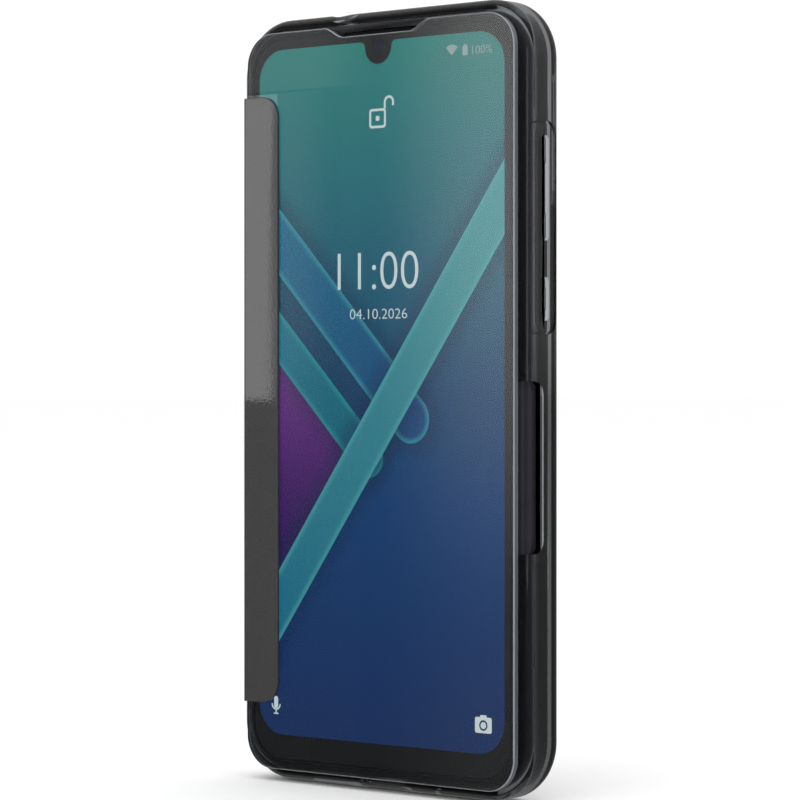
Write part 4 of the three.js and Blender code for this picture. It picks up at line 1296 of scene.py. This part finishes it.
@dataclass
class FrontCover(SubAssembly):
    """The see-through cover plate and the three runs and two folds of the leather-look strip."""

    plate_corner: float = 6.7
    plate_rim: float = 0.3
    strip_corner: float = 4.5
    notch_depth: float = 2.1
    notch_foot: tuple[float, float] = (-9.0, 9.9)
    notch_flare: float = 3.7
    edge_round: float = 0.14
    fold_thickness: float = 0.5
    front_fold_radius: float = 3.78
    front_fold_centre: float = 3.5
    rear_fold_radius: float = 3.0

    def build(self) -> None:
        """Builds the plate and the strip and hands them over."""
        self.build_plate()
        self.build_runs()
        self.build_folds()

    def build_plate(self) -> None:
        """Builds the clear plate with its notch over the earpiece."""
        span = Span.of("front_window")
        middle = Span.of("earpiece_mesh").centre.x
        plate = self.bench.slab("clear_plate", Axis.Y, span, self.plate_corner, segments=20)
        foot = span.high.z - self.notch_depth * MM
        tool_span = Span(Vector((middle + self.notch_foot[0] * MM, span.low.y - MM, foot)),
                         Vector((middle + self.notch_foot[1] * MM, span.high.y + MM, span.high.z + 2 * MM)))
        tool = self.bench.block("notch", tool_span)
        self.bench.mark(tool, lambda first, second: min(first.z, second.z) > tool_span.high.z - TINY)
        grow = 1 + 2 * self.notch_flare * (self.notch_depth + 2) / self.notch_depth * MM / tool_span.size.x
        bpy.ops.transform.resize(value=(grow, 1.0, 1.0), center_override=tool_span.centre)
        bpy.ops.object.mode_set(mode="OBJECT")
        self.bench.mark(tool, lambda first, second: max(first.z, second.z) < foot + TINY
                        and abs(first.x - second.x) < TINY)
        self.bench.bevel(0.8 * MM, 6)
        self.bench.cut(plate, tool)
        self.bench.round_corners(
            plate, Axis.Y, 0.8 * MM, 6,
            lambda point: point.z > span.high.z - TINY and abs(point.x - middle) < 16 * MM)
        self.bench.round_rim(plate, Axis.Y, span.low.y, self.plate_rim * MM, 4)
        self.bench.round_rim(plate, Axis.Y, span.high.y, 0.2 * MM, 3)
        self.bench.smooth(plate, 24.0)
        self.hand_over(plate, "front_cover", "smoke_window", "front_window")
        # The bevel and the cut side get pale paint: a painted highlight for the glint along the plate's edge.
        side = PaintedEdgeGlint(tone(112, 117, 125), tone(92, 96, 104))
        plate.data.materials.append(PaintedEdgeGlint().make("finish_plate_bevel_painted_glint"))
        plate.data.materials.append(side.make("finish_plate_side_painted_glint"))
        for face in plate.data.polygons:
            lean = abs(face.normal.y)
            face.material_index = 2 if lean < 0.15 else int(lean < 0.97)

    def build_runs(self) -> None:
        """Builds the flat runs of the strip: on the plate, along the spine and on the back."""
        front, spine, rear = Span.of("cover_strip"), Span.of("spine_panel"), Span.of("rear_strip")
        for name, span, node, body, outer in (
                ("strip_front_run", front, "cover_strip", "front_cover", front.low.y),
                ("strip_rear_run", rear, "rear_strip", "handset", rear.high.y)):
            run = self.bench.block(name, span)
            self.bench.round_corners(run, Axis.Y, self.strip_corner * MM, 14,
                                     lambda point, span=span: point.x > span.centre.x)
            self.bench.mark(run, lambda first, second, span=span, outer=outer: (
                max(abs(first.y - outer), abs(second.y - outer)) < TINY
                and max(first.x, second.x) > span.low.x + TINY))
            self.bench.bevel(self.edge_round * MM, 3)
            self.bench.smooth(run)
            self.hand_over(run, body, "grey_leather", node)
        run = self.bench.block("strip_spine_run", spine)
        self.bench.mark(run, lambda first, second: max(first.x, second.x) < spine.low.x + TINY
                        and abs(first.z - second.z) < TINY)
        self.bench.bevel(self.edge_round * MM, 3)
        self.bench.smooth(run)
        self.hand_over(run, "spine", "grey_leather", "spine_panel")

    def build_folds(self) -> None:
        """Builds the two folds of the strip as fixed curved sheets."""
        front, spine, rear = Span.of("cover_strip"), Span.of("spine_panel"), Span.of("rear_strip")
        shell = Span.of("back_shell")
        half = self.fold_thickness / 2 * MM
        outer_x = spine.low.x + half
        radius, rim = self.front_fold_radius * MM, self.front_fold_centre * MM
        centre = (shell.low.x + rim, shell.low.y + rim)
        path = [(outer_x, spine.low.y), (outer_x + 0.04 * MM, spine.low.y - 0.5 * MM)]
        path += [self.on_arc(centre, radius, angle) for angle in range(196, 224, 4)]
        corner = (front.low.x, front.centre.y)
        knee = self.on_arc(centre, radius, 225)
        bend = (corner[0] - 0.62 * MM, corner[1] + 0.42 * MM)
        path += [knee, ((knee[0] + bend[0]) / 2, (knee[1] + bend[1]) / 2), bend,
                 (corner[0] - 0.3 * MM, corner[1] + 0.12 * MM), corner]
        fold = self.bench.ribbon("strip_front_fold", path, front.low.z, front.high.z, 2 * half)
        self.bench.smooth(fold, 50.0)
        self.shelf.dress(fold, "grey_leather")
        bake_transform(fold)
        rim = self.rear_fold_radius * MM
        radius = rim + shell.low.x - outer_x
        centre = (shell.low.x + rim, shell.high.y - rim)
        back = (rear.low.x, rear.high.y - half)
        path = [(outer_x, spine.high.y)]
        path += [self.on_arc(centre, radius, angle) for angle in range(174, 119, -6)]
        last = path[-1]
        path += [(last[0] * 0.4 + back[0] * 0.6, back[1] - 0.12 * MM), back]
        fold = self.bench.ribbon("strip_rear_fold", path, front.low.z, front.high.z, 2 * half)
        self.bench.smooth(fold, 50.0)
        self.shelf.dress(fold, "grey_leather")
        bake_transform(fold)

    @staticmethod
    def on_arc(centre: tuple[float, float], radius: float, degrees: float) -> tuple[float, float]:
        """A point on an arc seen from above."""
        angle = math.radians(degrees)
        return (centre[0] + radius * math.cos(angle), centre[1] + radius * math.sin(angle))


@dataclass
class ScreenFace(SubAssembly):
    """The cover glass, the lit screen behind it and the figures and signs that it shows."""

    active_top: float = 1.16
    active_bottom: float = 4.11
    active_side: float = 0.65
    corner: float = 6.4
    notch_half: float = 3.5
    notch_depth: float = 4.6

    def build(self) -> None:
        """Builds the glass, the lit picture and what stands on it."""
        glass, panel, camera = Span.of("cover_glass"), Span.of("lcd_panel"), Span.of("front_camera")
        mesh = Span.of("earpiece_mesh")
        sheet = self.bench.slab("border_glass", Axis.Y, glass, 7.35, 0.12, segments=18, rim_segments=3)
        clear = mesh.grown(0.2, 0, 0.2)
        slot = Span(Vector((clear.low.x, glass.low.y - MM, clear.low.z)),
                    Vector((clear.high.x, glass.high.y + MM, glass.high.z + MM)))
        self.bench.cut(sheet, self.bench.block("mesh_gap", slot))
        self.bench.smooth(sheet)
        self.hand_over(sheet, "handset", "cover_glass", "cover_glass")
        skin = glass.low.y
        side = self.active_side * MM
        active = Span(Vector((panel.low.x + side, skin - 0.03 * MM, panel.low.z + self.active_bottom * MM)),
                      Vector((panel.high.x - side, skin - 0.005 * MM, panel.high.z - self.active_top * MM)))
        lit = self.bench.slab("lit_screen", Axis.Y, active, self.corner, segments=18)
        middle = active.centre.x
        foot = active.high.z - self.notch_depth * MM
        way = Span(Vector((middle - self.notch_half * MM, skin - MM, foot)),
                   Vector((middle + self.notch_half * MM, skin + MM, active.high.z + 4 * MM)))
        tool = self.bench.block("notch", way)
        self.bench.round_corners(tool, Axis.Y, (self.notch_half - 0.01) * MM, 14,
                                 lambda point: point.z < foot + TINY)
        self.bench.cut(lit, tool)
        self.bench.round_corners(lit, Axis.Y, 1.3 * MM, 8, lambda point: point.z > active.high.z - TINY
                                 and abs(point.x - middle) < 4.2 * MM)
        origin = Vector((active.low.x, 0.0, active.low.z))
        material = LitScreen(origin, active.size.z / MM).make("finish_picture")
        self.bench.paint(lit, material)
        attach(lit, "handset")
        LOG.info("lit_screen has %d faces", len(lit.data.polygons))
        SignWriter(self.shelf, active, camera).build()


@dataclass
class SignWriter(SubAssembly):
    """The clock, the date and the plain signs that the screen shows."""

    active: Span
    camera: Span
    skin: float = 0.02

    def build(self) -> None:
        """Builds every figure and sign."""
        bright, faint = Glow().make("finish_glow"), Glow(tone(176, 196, 194), 0.7).make("finish_faint_glow")
        signs = [
            (self.figures("clock_figures", "11:00", -0.1, 94.69, 7.5, 21.4), bright),
            (self.figures("date_figures", "04.10.2026", 0.1, 86.04, 2.0, 15.2), bright),
            (self.figures("charge_figures", "100%", 26.9, 137.09, 1.6, 5.0), faint),
            (self.padlock(), bright),
            (self.battery(), faint),
            (self.signal(), faint),
            (self.microphone(), bright),
            (self.picture_taker(), bright),
        ]
        for sign, material in signs:
            self.bench.paint(sign, material)
            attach(sign, "handset")
            LOG.info("%s has %d faces", sign.name, len(sign.data.polygons))
        self.lens()

    def at(self, x: float, z: float) -> Vector:
        """A point just in front of the lit screen, in millimetres right of its middle and above its foot."""
        return Vector((self.active.centre.x + x * MM, self.active.low.y - 1.5 * self.skin * MM,
                       self.active.low.z + z * MM))

    def figures(self, name: str, text: str, x: float, z: float, height: float, width: float
                ) -> bpy.types.Object:
        """Makes a line of figures centred on a point."""
        return self.bench.lettering(name, text, height * MM, self.at(x, z), self.skin * MM, width * MM)

    def tile(self, name: str, x: float, z: float, wide: float, tall: float, corner: float = 0.0,
             deep: float = 0.02) -> bpy.types.Object:
        """Makes a thin tile centred on a point, in millimetres.

        Args:
            name: The name of what is made.
            x: Millimetres right of the middle.
            z: Millimetres above the screen's foot.
            wide: The width, in millimetres.
            tall: The height, in millimetres.
            corner: The corner radius, in millimetres.
            deep: The depth, in millimetres.

        Returns:
            The new object.
        """
        half = Vector((wide / 2, deep / 2, tall / 2)) * MM
        piece = self.bench.block(name, Span(self.at(x, z) - half, self.at(x, z) + half))
        if corner:
            self.bench.round_corners(piece, Axis.Y, corner * MM, 6)
        return piece

    def tool(self, x: float, z: float, wide: float, tall: float, corner: float = 0.0) -> bpy.types.Object:
        """Makes a cutter through a tile."""
        return self.tile("sign_tool", x, z, wide, tall, corner, 1.0)

    def disc(self, name: str, x: float, z: float, radius: float, deep: float) -> bpy.types.Object:
        """Makes a round tile or cutter."""
        return self.bench.bar(name, Axis.Y, self.at(x, z), radius * MM, deep * MM, 40)

    def padlock(self) -> bpy.types.Object:
        """An open padlock: a framed body with a dot, and a shackle swung to the right.

        Returns:
            The new object.
        """
        x, z = -0.1, 125.14
        body = self.tile("open_padlock", x, z, 4.4, 3.9, 0.7)
        self.bench.cut(body, self.tool(x, z, 3.4, 2.9, 0.3))
        dot = self.tile("dot", x, z, 1.0, 1.0, 0.3)
        loop = self.disc("loop", x + 3.0, z + 3.1, 1.35, self.skin)
        self.bench.cut(loop, self.disc("loop_tool", x + 3.0, z + 3.1, 0.85, 1.0),
                       self.tool(x + 3.0, z + 1.6, 4.0, 3.0))
        left = self.tile("left_leg", x + 1.9, z + 2.5, 0.5, 1.2)
        right = self.tile("right_leg", x + 4.1, z + 2.75, 0.5, 0.7)
        return self.bench.gather(body, dot, loop, left, right)

    def battery(self) -> bpy.types.Object:
        """A battery: a small upright cell with its cap."""
        cell = self.tile("battery_sign", 22.6, 137.14, 1.3, 1.9, 0.2)
        return self.bench.gather(cell, self.tile("cap", 22.6, 138.22, 0.7, 0.3))

    def signal(self) -> bpy.types.Object:
        """A wedge for the radio signal, round above and pointed below.

        Returns:
            The new object.
        """
        wedge = self.disc("signal_sign", 19.2, 136.44, 2.1, self.skin)
        for way in (-1, 1):
            self.bench.mark(wedge, lambda first, second: True)
            bpy.ops.mesh.select_all(action="SELECT")
            bpy.ops.mesh.bisect(plane_co=self.at(19.2, 136.44), plane_no=(way * 0.72, 0.0, -0.69),
                                clear_outer=True, use_fill=True)
            bpy.ops.object.mode_set(mode="OBJECT")
        return wedge

    def microphone(self) -> bpy.types.Object:
        """A microphone: a capsule over a cup, a stem and a foot.

        Returns:
            The new object.
        """
        x, z = -27.8, 5.89
        capsule = self.tile("voice_sign", x, z + 0.7, 1.1, 2.5, 0.5)
        cup = self.disc("cup", x, z + 0.35, 1.25, self.skin)
        self.bench.cut(cup, self.disc("cup_tool", x, z + 0.35, 0.95, 1.0), self.tool(x, z + 1.4, 3.4, 2.1))
        return self.bench.gather(capsule, cup, self.tile("stem", x, z - 1.25, 0.3, 0.7),
                                 self.tile("foot", x, z - 1.6, 1.3, 0.25))

    def picture_taker(self) -> bpy.types.Object:
        """A camera: a body with a raised finder and a ringed lens.

        Returns:
            The new object.
        """
        x, z = 27.2, 5.64
        body = self.tile("camera_sign", x, z, 4.2, 3.1, 0.4)
        self.bench.cut(body, self.disc("ring_tool", x, z - 0.05, 1.05, 1.0))
        finder = self.tile("finder", x, z + 1.72, 1.6, 0.5, 0.15)
        return self.bench.gather(body, finder, self.disc("pupil", x, z - 0.05, 0.68, self.skin))

    def lens(self) -> None:
        """The front camera's window: a dark ring round a coated pupil, in the screen's notch."""
        centre = Vector((self.camera.centre.x, self.active.low.y + 0.012 * MM, self.active.high.z - 1.1 * MM))
        for name, radius, deep, tint, gloss in (
                ("front_lens_ring", 1.75, 0.02, tone(20, 22, 28), 0.25),
                ("front_lens_pupil", 0.95, 0.03, tone(22, 36, 74), 0.05)):
            part = self.bench.bar(name, Axis.Y, centre, radius * MM, deep * MM, 40)
            front = min(vertex.co.y for vertex in part.data.vertices)
            self.bench.round_rim(part, Axis.Y, front, deep * 0.4 * MM, 2)
            self.bench.paint(part, Plain(tint, gloss, coat=1.0, relief=0.000001).make(f"finish_{name}"))
            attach(part, "handset")


@dataclass
class HandsetBody(SubAssembly):
    """The handset's own front frame, back cover, earpiece mesh and side keys."""

    corner: float = 10.2
    rim: float = 2.6
    frame_wall: float = 1.4
    cover_wall: float = 1.2
    nail_notch: tuple[float, float] = (8, 17.1)
    speaker_pitch: float = 1.92
    speaker_holes: int = 6

    def build(self) -> None:
        """Builds the visible outside of the handset."""
        self.build_frame()
        self.build_cover()
        self.build_mesh()
        self.build_keys()

    def build_frame(self) -> None:
        """Builds the front frame: a rounded rim with the pocket that the glass lies in."""
        span, glass = Span.of("front_frame"), Span.of("cover_glass")
        frame = self.bench.slab("front_rim", Axis.Y, span, self.corner, self.rim, segments=20, rim_segments=8)
        pocket = glass.grown(0.1, 0, 0.1).with_side(Axis.Y, glass.low.y - MM, glass.high.y + 0.05 * MM)
        front, wall = glass.low.y - MM, self.frame_wall
        well = Span.of("lcd_panel", "backlight_unit").grown(0.1, 0.05, 0.1).with_side(Axis.Y, front)
        room = span.grown(-wall, 0, -wall).with_side(Axis.Y, well.high.y + 0.65 * MM, span.high.y + MM)
        duct = Span.of("earpiece_mesh").grown(0.2, 0, 0.2).with_side(Axis.Y, front, room.low.y + MM)
        eye = Span.of("front_camera")
        flex = Span.of("display_flex").grown(0.3, 1.5, 0.4)
        self.bench.cut(
            frame,
            self.bench.slab("pocket", Axis.Y, pocket, self.corner - 2.75, segments=18),
            self.bench.slab("well", Axis.Y, well, self.corner - 3.55, segments=14),
            self.bench.slab("room", Axis.Y, room, self.corner - self.frame_wall, segments=14),
            self.bench.block("duct", duct),
            self.bench.block("eye_way", eye.grown(0.1, 0.1, 0.1)),
            self.bench.block("flex_way", flex),
        )
        self.bench.smooth(frame, 28.0)
        self.hand_over(frame, "handset", "handset_side", "front_frame")

    def build_cover(self) -> None:
        """Builds the removable back cover with its holes and the nail notch."""
        span, bezel = Span.of("back_cover"), Span.of("camera_bezel")
        jack, usb = Span.of("headphone_jack"), Span.of("usb_receptacle")
        cover = self.bench.slab("clip_back", Axis.Y, span, self.corner, 0, self.rim, 20, 8)
        wall = self.cover_wall
        room = span.grown(-wall, 0, -wall).with_side(Axis.Y, span.low.y - MM, span.high.y - MM)
        tools = [self.bench.slab("room", Axis.Y, room, self.corner - wall, 0, self.rim - 1.0, 18, 6)]
        notch = Span(Vector((span.high.x - 0.8 * MM, span.low.y - MM, span.low.z + self.nail_notch[0] * MM)),
                     Vector((span.high.x + MM, span.low.y + 0.5 * MM, span.low.z + self.nail_notch[1] * MM)))
        tools.append(self.bench.block("nail_notch", notch))
        for node in ("volume_rocker", "power_key"):
            way = Span.of(node).grown(0, 0.15, -0.3).with_side(
                Axis.X, span.high.x - 1.6 * MM, span.high.x + MM)
            tools.append(self.bench.slab(f"{node}_way", Axis.X, way, 0.88, segments=8))
        window = bezel.grown(0.1, 0, 0.1).with_side(Axis.Y, room.high.y - MM, span.high.y + MM)
        tools.append(self.bench.slab("window", Axis.Y, window, 5.49, segments=16))
        port_y = usb.centre.y
        plug = Vector((jack.centre.x, port_y, span.high.z))
        tools.append(self.bench.bar("jack_way", Axis.Z, plug, 2.0 * MM, 6 * MM, 32))
        base = span.low.z
        usb_way = usb.grown(0.2, 0.2, 0).with_side(Axis.Z, base - MM, base + 1.5 * MM)
        tools.append(self.bench.slab("usb_way", Axis.Z, usb_way, 1.79, segments=8))
        middle = usb.centre.x - 14.8 * MM
        half_row = (self.speaker_holes - 1) / 2
        holes = [middle + (i - half_row) * self.speaker_pitch * MM for i in range(self.speaker_holes)]
        for i, x in enumerate([*holes, usb.centre.x + 12 * MM]):
            radius = 0.55 if i < len(holes) else 0.5
            at = Vector((x, port_y, base))
            tools.append(self.bench.bar(f"hole_{i}", Axis.Z, at, radius * MM, 3 * MM, 20))
        self.bench.cut(cover, *tools)
        self.bench.smooth(cover, 28.0)
        self.hand_over(cover, "handset", "handset_side", "back_cover")

    def build_mesh(self) -> None:
        """Builds the earpiece mesh: a thin back plate with fine upright ribs."""
        span = Span.of("earpiece_mesh")
        back = self.bench.block("ribbed_mesh", span.with_side(Axis.Y, span.high.y - 0.12 * MM))
        self.bench.round_rim(back, Axis.Y, span.high.y, 0.03 * MM, 2)
        pitch = 0.4 * MM
        rib_span = Span(span.low.copy(), Vector((span.low.x + 0.2 * MM, span.high.y - 0.1 * MM, span.high.z)))
        rib = self.bench.block("rib", rib_span)
        self.bench.round_rim(rib, Axis.Y, rib_span.low.y, 0.06 * MM, 2)
        self.bench.modify(rib, "ARRAY", count=int(span.size.x / pitch), use_relative_offset=False,
                          use_constant_offset=True, constant_offset_displace=(pitch, 0.0, 0.0))
        self.bench.gather(back, rib)
        self.bench.smooth(back)
        self.hand_over(back, "handset", "fine_mesh", "earpiece_mesh")

    def build_keys(self) -> None:
        """Builds the rocker, low in its middle, and the power key, low at its ends."""
        for node, name, dip in (("volume_rocker", "rocker_cap", 9.6), ("power_key", "power_cap", 0.0)):
            key = Span.of(node)
            cap_span = key.grown(0, 0, -0.45)
            cap = self.bench.slab(name, Axis.X, cap_span, 0.74, high_rim=0.16, segments=8, rim_segments=3)
            face = cap_span.high.x
            tools = []
            if dip:
                tools.append(self.dip_tool(cap_span.centre.z, dip, face, cap_span))
            else:
                for end in (cap_span.low.z, cap_span.high.z):
                    tools.append(self.dip_tool(end, 3.5, face, cap_span))
            self.bench.cut(cap, *tools)
            flange = Span(key.low.copy(), Vector((key.low.x + 0.5 * MM, key.high.y, key.high.z)))
            plate = self.bench.block("flange", flange)
            self.bench.gather(cap, plate)
            self.bench.smooth(cap)
            self.hand_over(cap, node, "key_metal", node)

    def dip_tool(self, z: float, length: float, face: float, cap: Span) -> bpy.types.Object:
        """Makes the tool that lowers a stretch of a key's face, with sloping ends.

        Args:
            z: The middle of the stretch along Z, in metres.
            length: The length, in millimetres.
            face: Where the key's face lies along X, in metres.
            cap: The key cap's box.

        Returns:
            The cutting shape.
        """
        low = Vector((face - 0.28 * MM, cap.low.y - MM, z - length / 2 * MM))
        high = Vector((face + MM, cap.high.y + MM, z + length / 2 * MM))
        tool = self.bench.block("dip", Span(low, high))
        self.bench.mark(tool, lambda first, second: min(first.x, second.x) > high.x - TINY)
        bpy.ops.transform.resize(value=(1.0, 1.0, 1 + 3.2 / length), center_override=(low + high) / 2)
        bpy.ops.object.mode_set(mode="OBJECT")
        return tool


@dataclass
class RearCamera(SubAssembly):
    """The rear camera pill: bezel, glass and the round lenses behind it."""

    def build(self) -> None:
        """Builds the bezel ring and its glass, and rings the lenses."""
        bezel, glass = Span.of("camera_bezel"), Span.of("camera_glass")
        corner = bezel.size.x / 2 / MM - 0.01
        ring = self.bench.slab("camera_ring", Axis.Y, bezel, corner, 0, 0.3, 20, 4)
        seat = glass.grown(0.1, 0, 0.1).with_side(Axis.Y, glass.low.y, bezel.high.y + MM)
        tools = [self.bench.slab("seat", Axis.Y, seat, seat.size.x / 2 / MM - 0.01, segments=20)]
        lamp = Span.of("flash_lamp").size
        lamp_radius = min(lamp.x, lamp.z) / 2
        eyes = (("main_camera", 3.4 * MM), ("second_camera", 2.6 * MM), ("flash_lamp", lamp_radius))
        for node, radius in eyes:
            eye = Span.of(node)
            centre = Vector((bezel.centre.x, bezel.centre.y, eye.centre.z))
            tools.append(self.bench.bar(f"{node}_way", Axis.Y, centre, radius + 0.2 * MM, 6 * MM, 40))
        self.bench.cut(ring, *tools)
        self.bench.smooth(ring)
        self.hand_over(ring, "handset", "bright_steel", "camera_bezel")
        pane = self.bench.slab("camera_pane", Axis.Y, glass, glass.size.x / 2 / MM - 0.01, 0, 0.08, 20, 2)
        self.bench.smooth(pane)
        self.hand_over(pane, "handset", "cover_glass", "camera_glass")
        self.bench.paint(pane, ClearPlate(tone(150, 156, 164), 0.0).make("finish_camera_pane"))
        for node, radius in (("main_camera", 3.2), ("second_camera", 2.4)):
            eye = Span.of(node)
            rim = self.lens_rim(f"{node}_rim", Vector((bezel.centre.x, eye.high.y, eye.centre.z)), radius)
            self.hand_over(rim, "handset", "tin_can")

    def lens_rim(self, name: str, centre: Vector, radius: float) -> bpy.types.Object:
        """Makes a bevelled ring that sits on a camera's barrel.

        Args:
            name: The ring's name.
            centre: The middle of the barrel's rear face, in metres.
            radius: The ring's radius, in millimetres.

        Returns:
            The new object.
        """
        at = centre + Vector((0.0, 0.06 * MM, 0.0))
        rim = self.bench.bar(name, Axis.Y, at, radius * MM, 0.12 * MM, 48)
        self.bench.cut(rim, self.bench.bar("opening", Axis.Y, at, radius * 0.72 * MM, MM, 48))
        high = max(vertex.co.y for vertex in rim.data.vertices)
        self.bench.round_rim(rim, Axis.Y, high, 0.04 * MM, 2)
        return self.bench.smooth(rim)


@dataclass
class InnerParts:
    """Everything that keeps its CAD shape and only needs its finish."""

    shelf: FinishShelf
    record: dict[str, Any]
    nodes: dict[str, bpy.types.Object]

    def dress(self) -> None:
        """Gives each CAD node that is still shown the finish of its slot."""
        slots = {part["node"]: part["material_slot"] for part in self.record["subparts"]}
        for name, node in self.nodes.items():
            self.shelf.dress(node, slots[name])
            if not node.hide_render:
                LOG.info("%s keeps its CAD shape in %s", name, slots[name])


Fade = Optional[tuple[float, float]]


@dataclass(frozen=True)
class Card:
    """An upright glowing card that only mirrors see: its box in metres, and where it fades.

    fade_x and fade_z say where it is dark and where it is full, and least is the share of its
    light that is left at the dark end of fade_z.
    """

    name: str
    low: tuple[float, float, float]
    high: tuple[float, float, float]
    strength: float
    fade_x: Fade = None
    fade_z: Fade = None
    least: float = 0.0


@dataclass
class Studio:
    """The floor, the soft light, the reflecting cards and the camera."""

    lens: float = 141.99
    camera_place: tuple[float, float, float] = (0.4160, -0.4799, 0.0805)
    camera_turn: float = 40.764
    shift_up: float = -0.0146
    floor_radius: float = 40.0
    seen_strength: float = 1.08
    turn: tuple[float, ...] = (-0.35, 0.25, 0.0, 1.0)
    ahead: tuple[float, ...] = (-0.1, 0.35, 0.04, 0.16)
    behind: tuple[float, ...] = (-0.012, 0.02, 0.3, 0.6)
    softbox_place: tuple[float, float, float] = (0.3, -0.5, 1.3)
    softbox_size: float = 1.4
    softbox_energy: float = 6.0
    cards: tuple[Card, ...] = (
        Card("strip_card", (-0.76, -0.5, 0.0756), (-0.486, -0.5, 0.204), 2.3),
        Card("corner_card", (-0.76, -0.5, 0.205), (-0.43, -0.5, 0.45), 0.6, (-0.43, -0.47)),
        Card("haze_card", (-0.485, -0.5, 0.04), (-0.45, -0.5, 0.204), 0.5, (-0.45, -0.48), (0.04, 0.12)),
        Card("right_card", (-0.44, -0.5, -0.2), (-0.18, -0.5, 0.45), 2.0,
             (-0.435, -0.362), (-0.02, 0.15), 0.12),
        Card("edge_card", (0.50, -0.54, 0.0), (0.62, -0.44, 0.35), 0.8),
    )

    def build(self) -> None:
        """Builds the whole setting."""
        self.build_camera()
        self.build_sky()
        self.build_floor()
        self.build_lights()

    def build_camera(self) -> None:
        """Sets the camera level with the object's middle, turned to its left."""
        bpy.ops.object.camera_add(
            location=self.camera_place, rotation=(math.pi / 2, 0.0, math.radians(self.camera_turn)))
        camera = bpy.context.object
        camera.name = "studio_camera"
        camera.data.lens = self.lens
        camera.data.sensor_width = 36.0
        camera.data.shift_y = self.shift_up
        camera.data.clip_start = 0.01
        bpy.context.scene.camera = camera
        bpy.context.scene.view_settings.view_transform = "Standard"

    def build_sky(self) -> None:
        """Lights the room white, and gives mirrors a dim room with a lighter upper half."""
        graph = WorldGraph("studio_room")
        parts = graph.node("SeparateXYZ")
        graph.link(graph.node("TexCoord").outputs["Generated"], parts.inputs[0])
        share = graph.node("Mix")
        graph.link(graph.spread(parts.outputs["Y"], *self.turn), share.inputs[0])
        graph.link(graph.spread(parts.outputs["Z"], *self.ahead), share.inputs[2])
        graph.link(graph.spread(parts.outputs["Z"], *self.behind), share.inputs[3])
        seen = graph.node("Background")
        seen.inputs["Color"].default_value = (1.0, 1.0, 1.0, 1.0)
        seen.inputs["Strength"].default_value = self.seen_strength
        mirrored = graph.node("Background")
        graph.link(share.outputs[0], mirrored.inputs["Strength"])
        mix = graph.mirror_switch(seen.outputs[0], mirrored.outputs[0])
        graph.link(mix, graph.output.inputs["Surface"])
        bpy.context.scene.world = graph.world

    def build_floor(self) -> None:
        """Lays the plain pale floor."""
        bpy.ops.object.select_all(action="DESELECT")
        bpy.ops.mesh.primitive_circle_add(vertices=96, radius=self.floor_radius, fill_type="NGON",
                                          location=(0, 0, -0.0002))
        floor = Bench.settle("pale_floor")
        graph = Graph("finish_floor")
        speckle = graph.noise(graph.object_point(), 30.0, 4.0)
        pale, paler = (0.93, 0.93, 0.93, 1.0), (0.96, 0.96, 0.96, 1.0)
        graph.set(base_color=graph.blend(speckle, pale, paler), roughness=0.9, specular_ior_level=0.1)
        mix = graph.mirror_switch(graph.surface.outputs[0], graph.node("BsdfTransparent").outputs[0])
        graph.link(mix, graph.output.inputs["Surface"])
        floor.data.materials.append(graph.material)
        floor.visible_glossy = False

    def hang(self, card: Card) -> None:
        """Hangs a card.

        Args:
            card: The card to hang.
        """
        low, high = Vector(card.low), Vector(card.high)
        bpy.ops.object.select_all(action="DESELECT")
        bpy.ops.mesh.primitive_cube_add(size=1.0, location=(low + high) / 2)
        bpy.context.object.scale = [max(side, 0.0005) for side in high - low]
        board = Bench.settle(card.name)
        graph = Graph(f"finish_{card.name}")
        glow: Any = 1.0
        parts = graph.node("SeparateXYZ")
        graph.link(graph.object_point(), parts.inputs[0])
        for axis, fade, least in (("X", card.fade_x, 0.0), ("Z", card.fade_z, card.least)):
            if fade is not None:
                glow = graph.calc("MULTIPLY", glow, self.fade(graph, parts.outputs[axis], fade, least))
        graph.set(base_color=(0.0, 0.0, 0.0, 1.0), emission_color=(1.0, 1.0, 1.0, 1.0),
                  emission_strength=graph.calc("MULTIPLY", glow, card.strength))
        board.data.materials.append(graph.material)
        for ray in ("visible_camera", "visible_diffuse", "visible_transmission", "visible_shadow"):
            setattr(board, ray, False)

    @staticmethod
    def fade(graph: Graph, place: Any, ends: tuple[float, float], least: float) -> Any:
        """A share that grows from least to 1 between two places.

        Args:
            graph: The card's graph.
            place: The place along the axis, as a node output.
            ends: Where it is dark and where it is full, in metres.
            least: The share at the dark end.

        Returns:
            The share, as a node output.
        """
        dark, full = ends
        if dark < full:
            return graph.spread(place, dark, full, least, 1.0)
        return graph.spread(place, full, dark, 1.0, least)

    def build_lights(self) -> None:
        """Hangs a soft overhead light, and the cards that draw the highlights."""
        bpy.ops.object.light_add(type="AREA", location=self.softbox_place)
        light = bpy.context.object
        light.name = "overhead_softbox"
        light.data.size = self.softbox_size
        light.data.energy = self.softbox_energy
        light.visible_glossy = False
        light.visible_transmission = False
        light.visible_camera = False
        light.rotation_euler = (Vector((0, 0, 0)) - light.location).to_track_quat("-Z", "Y").to_euler()
        for card in self.cards:
            self.hang(card)


def main(frame: dict[str, Any]) -> None:
    """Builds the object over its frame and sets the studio.
    """
    logging.basicConfig(level=logging.INFO, format="%(name)s: %(message)s")
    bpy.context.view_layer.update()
    Studio().build()
    shelf = FinishShelf()
    FolioShell(shelf).build()
    FrontCover(shelf).build()
    ScreenFace(shelf).build()
    HandsetBody(shelf).build()
    RearCamera(shelf).build()
    InnerParts(shelf, frame["record"], frame["nodes"]).dress()


if __name__ == "__main__":
    main(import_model())
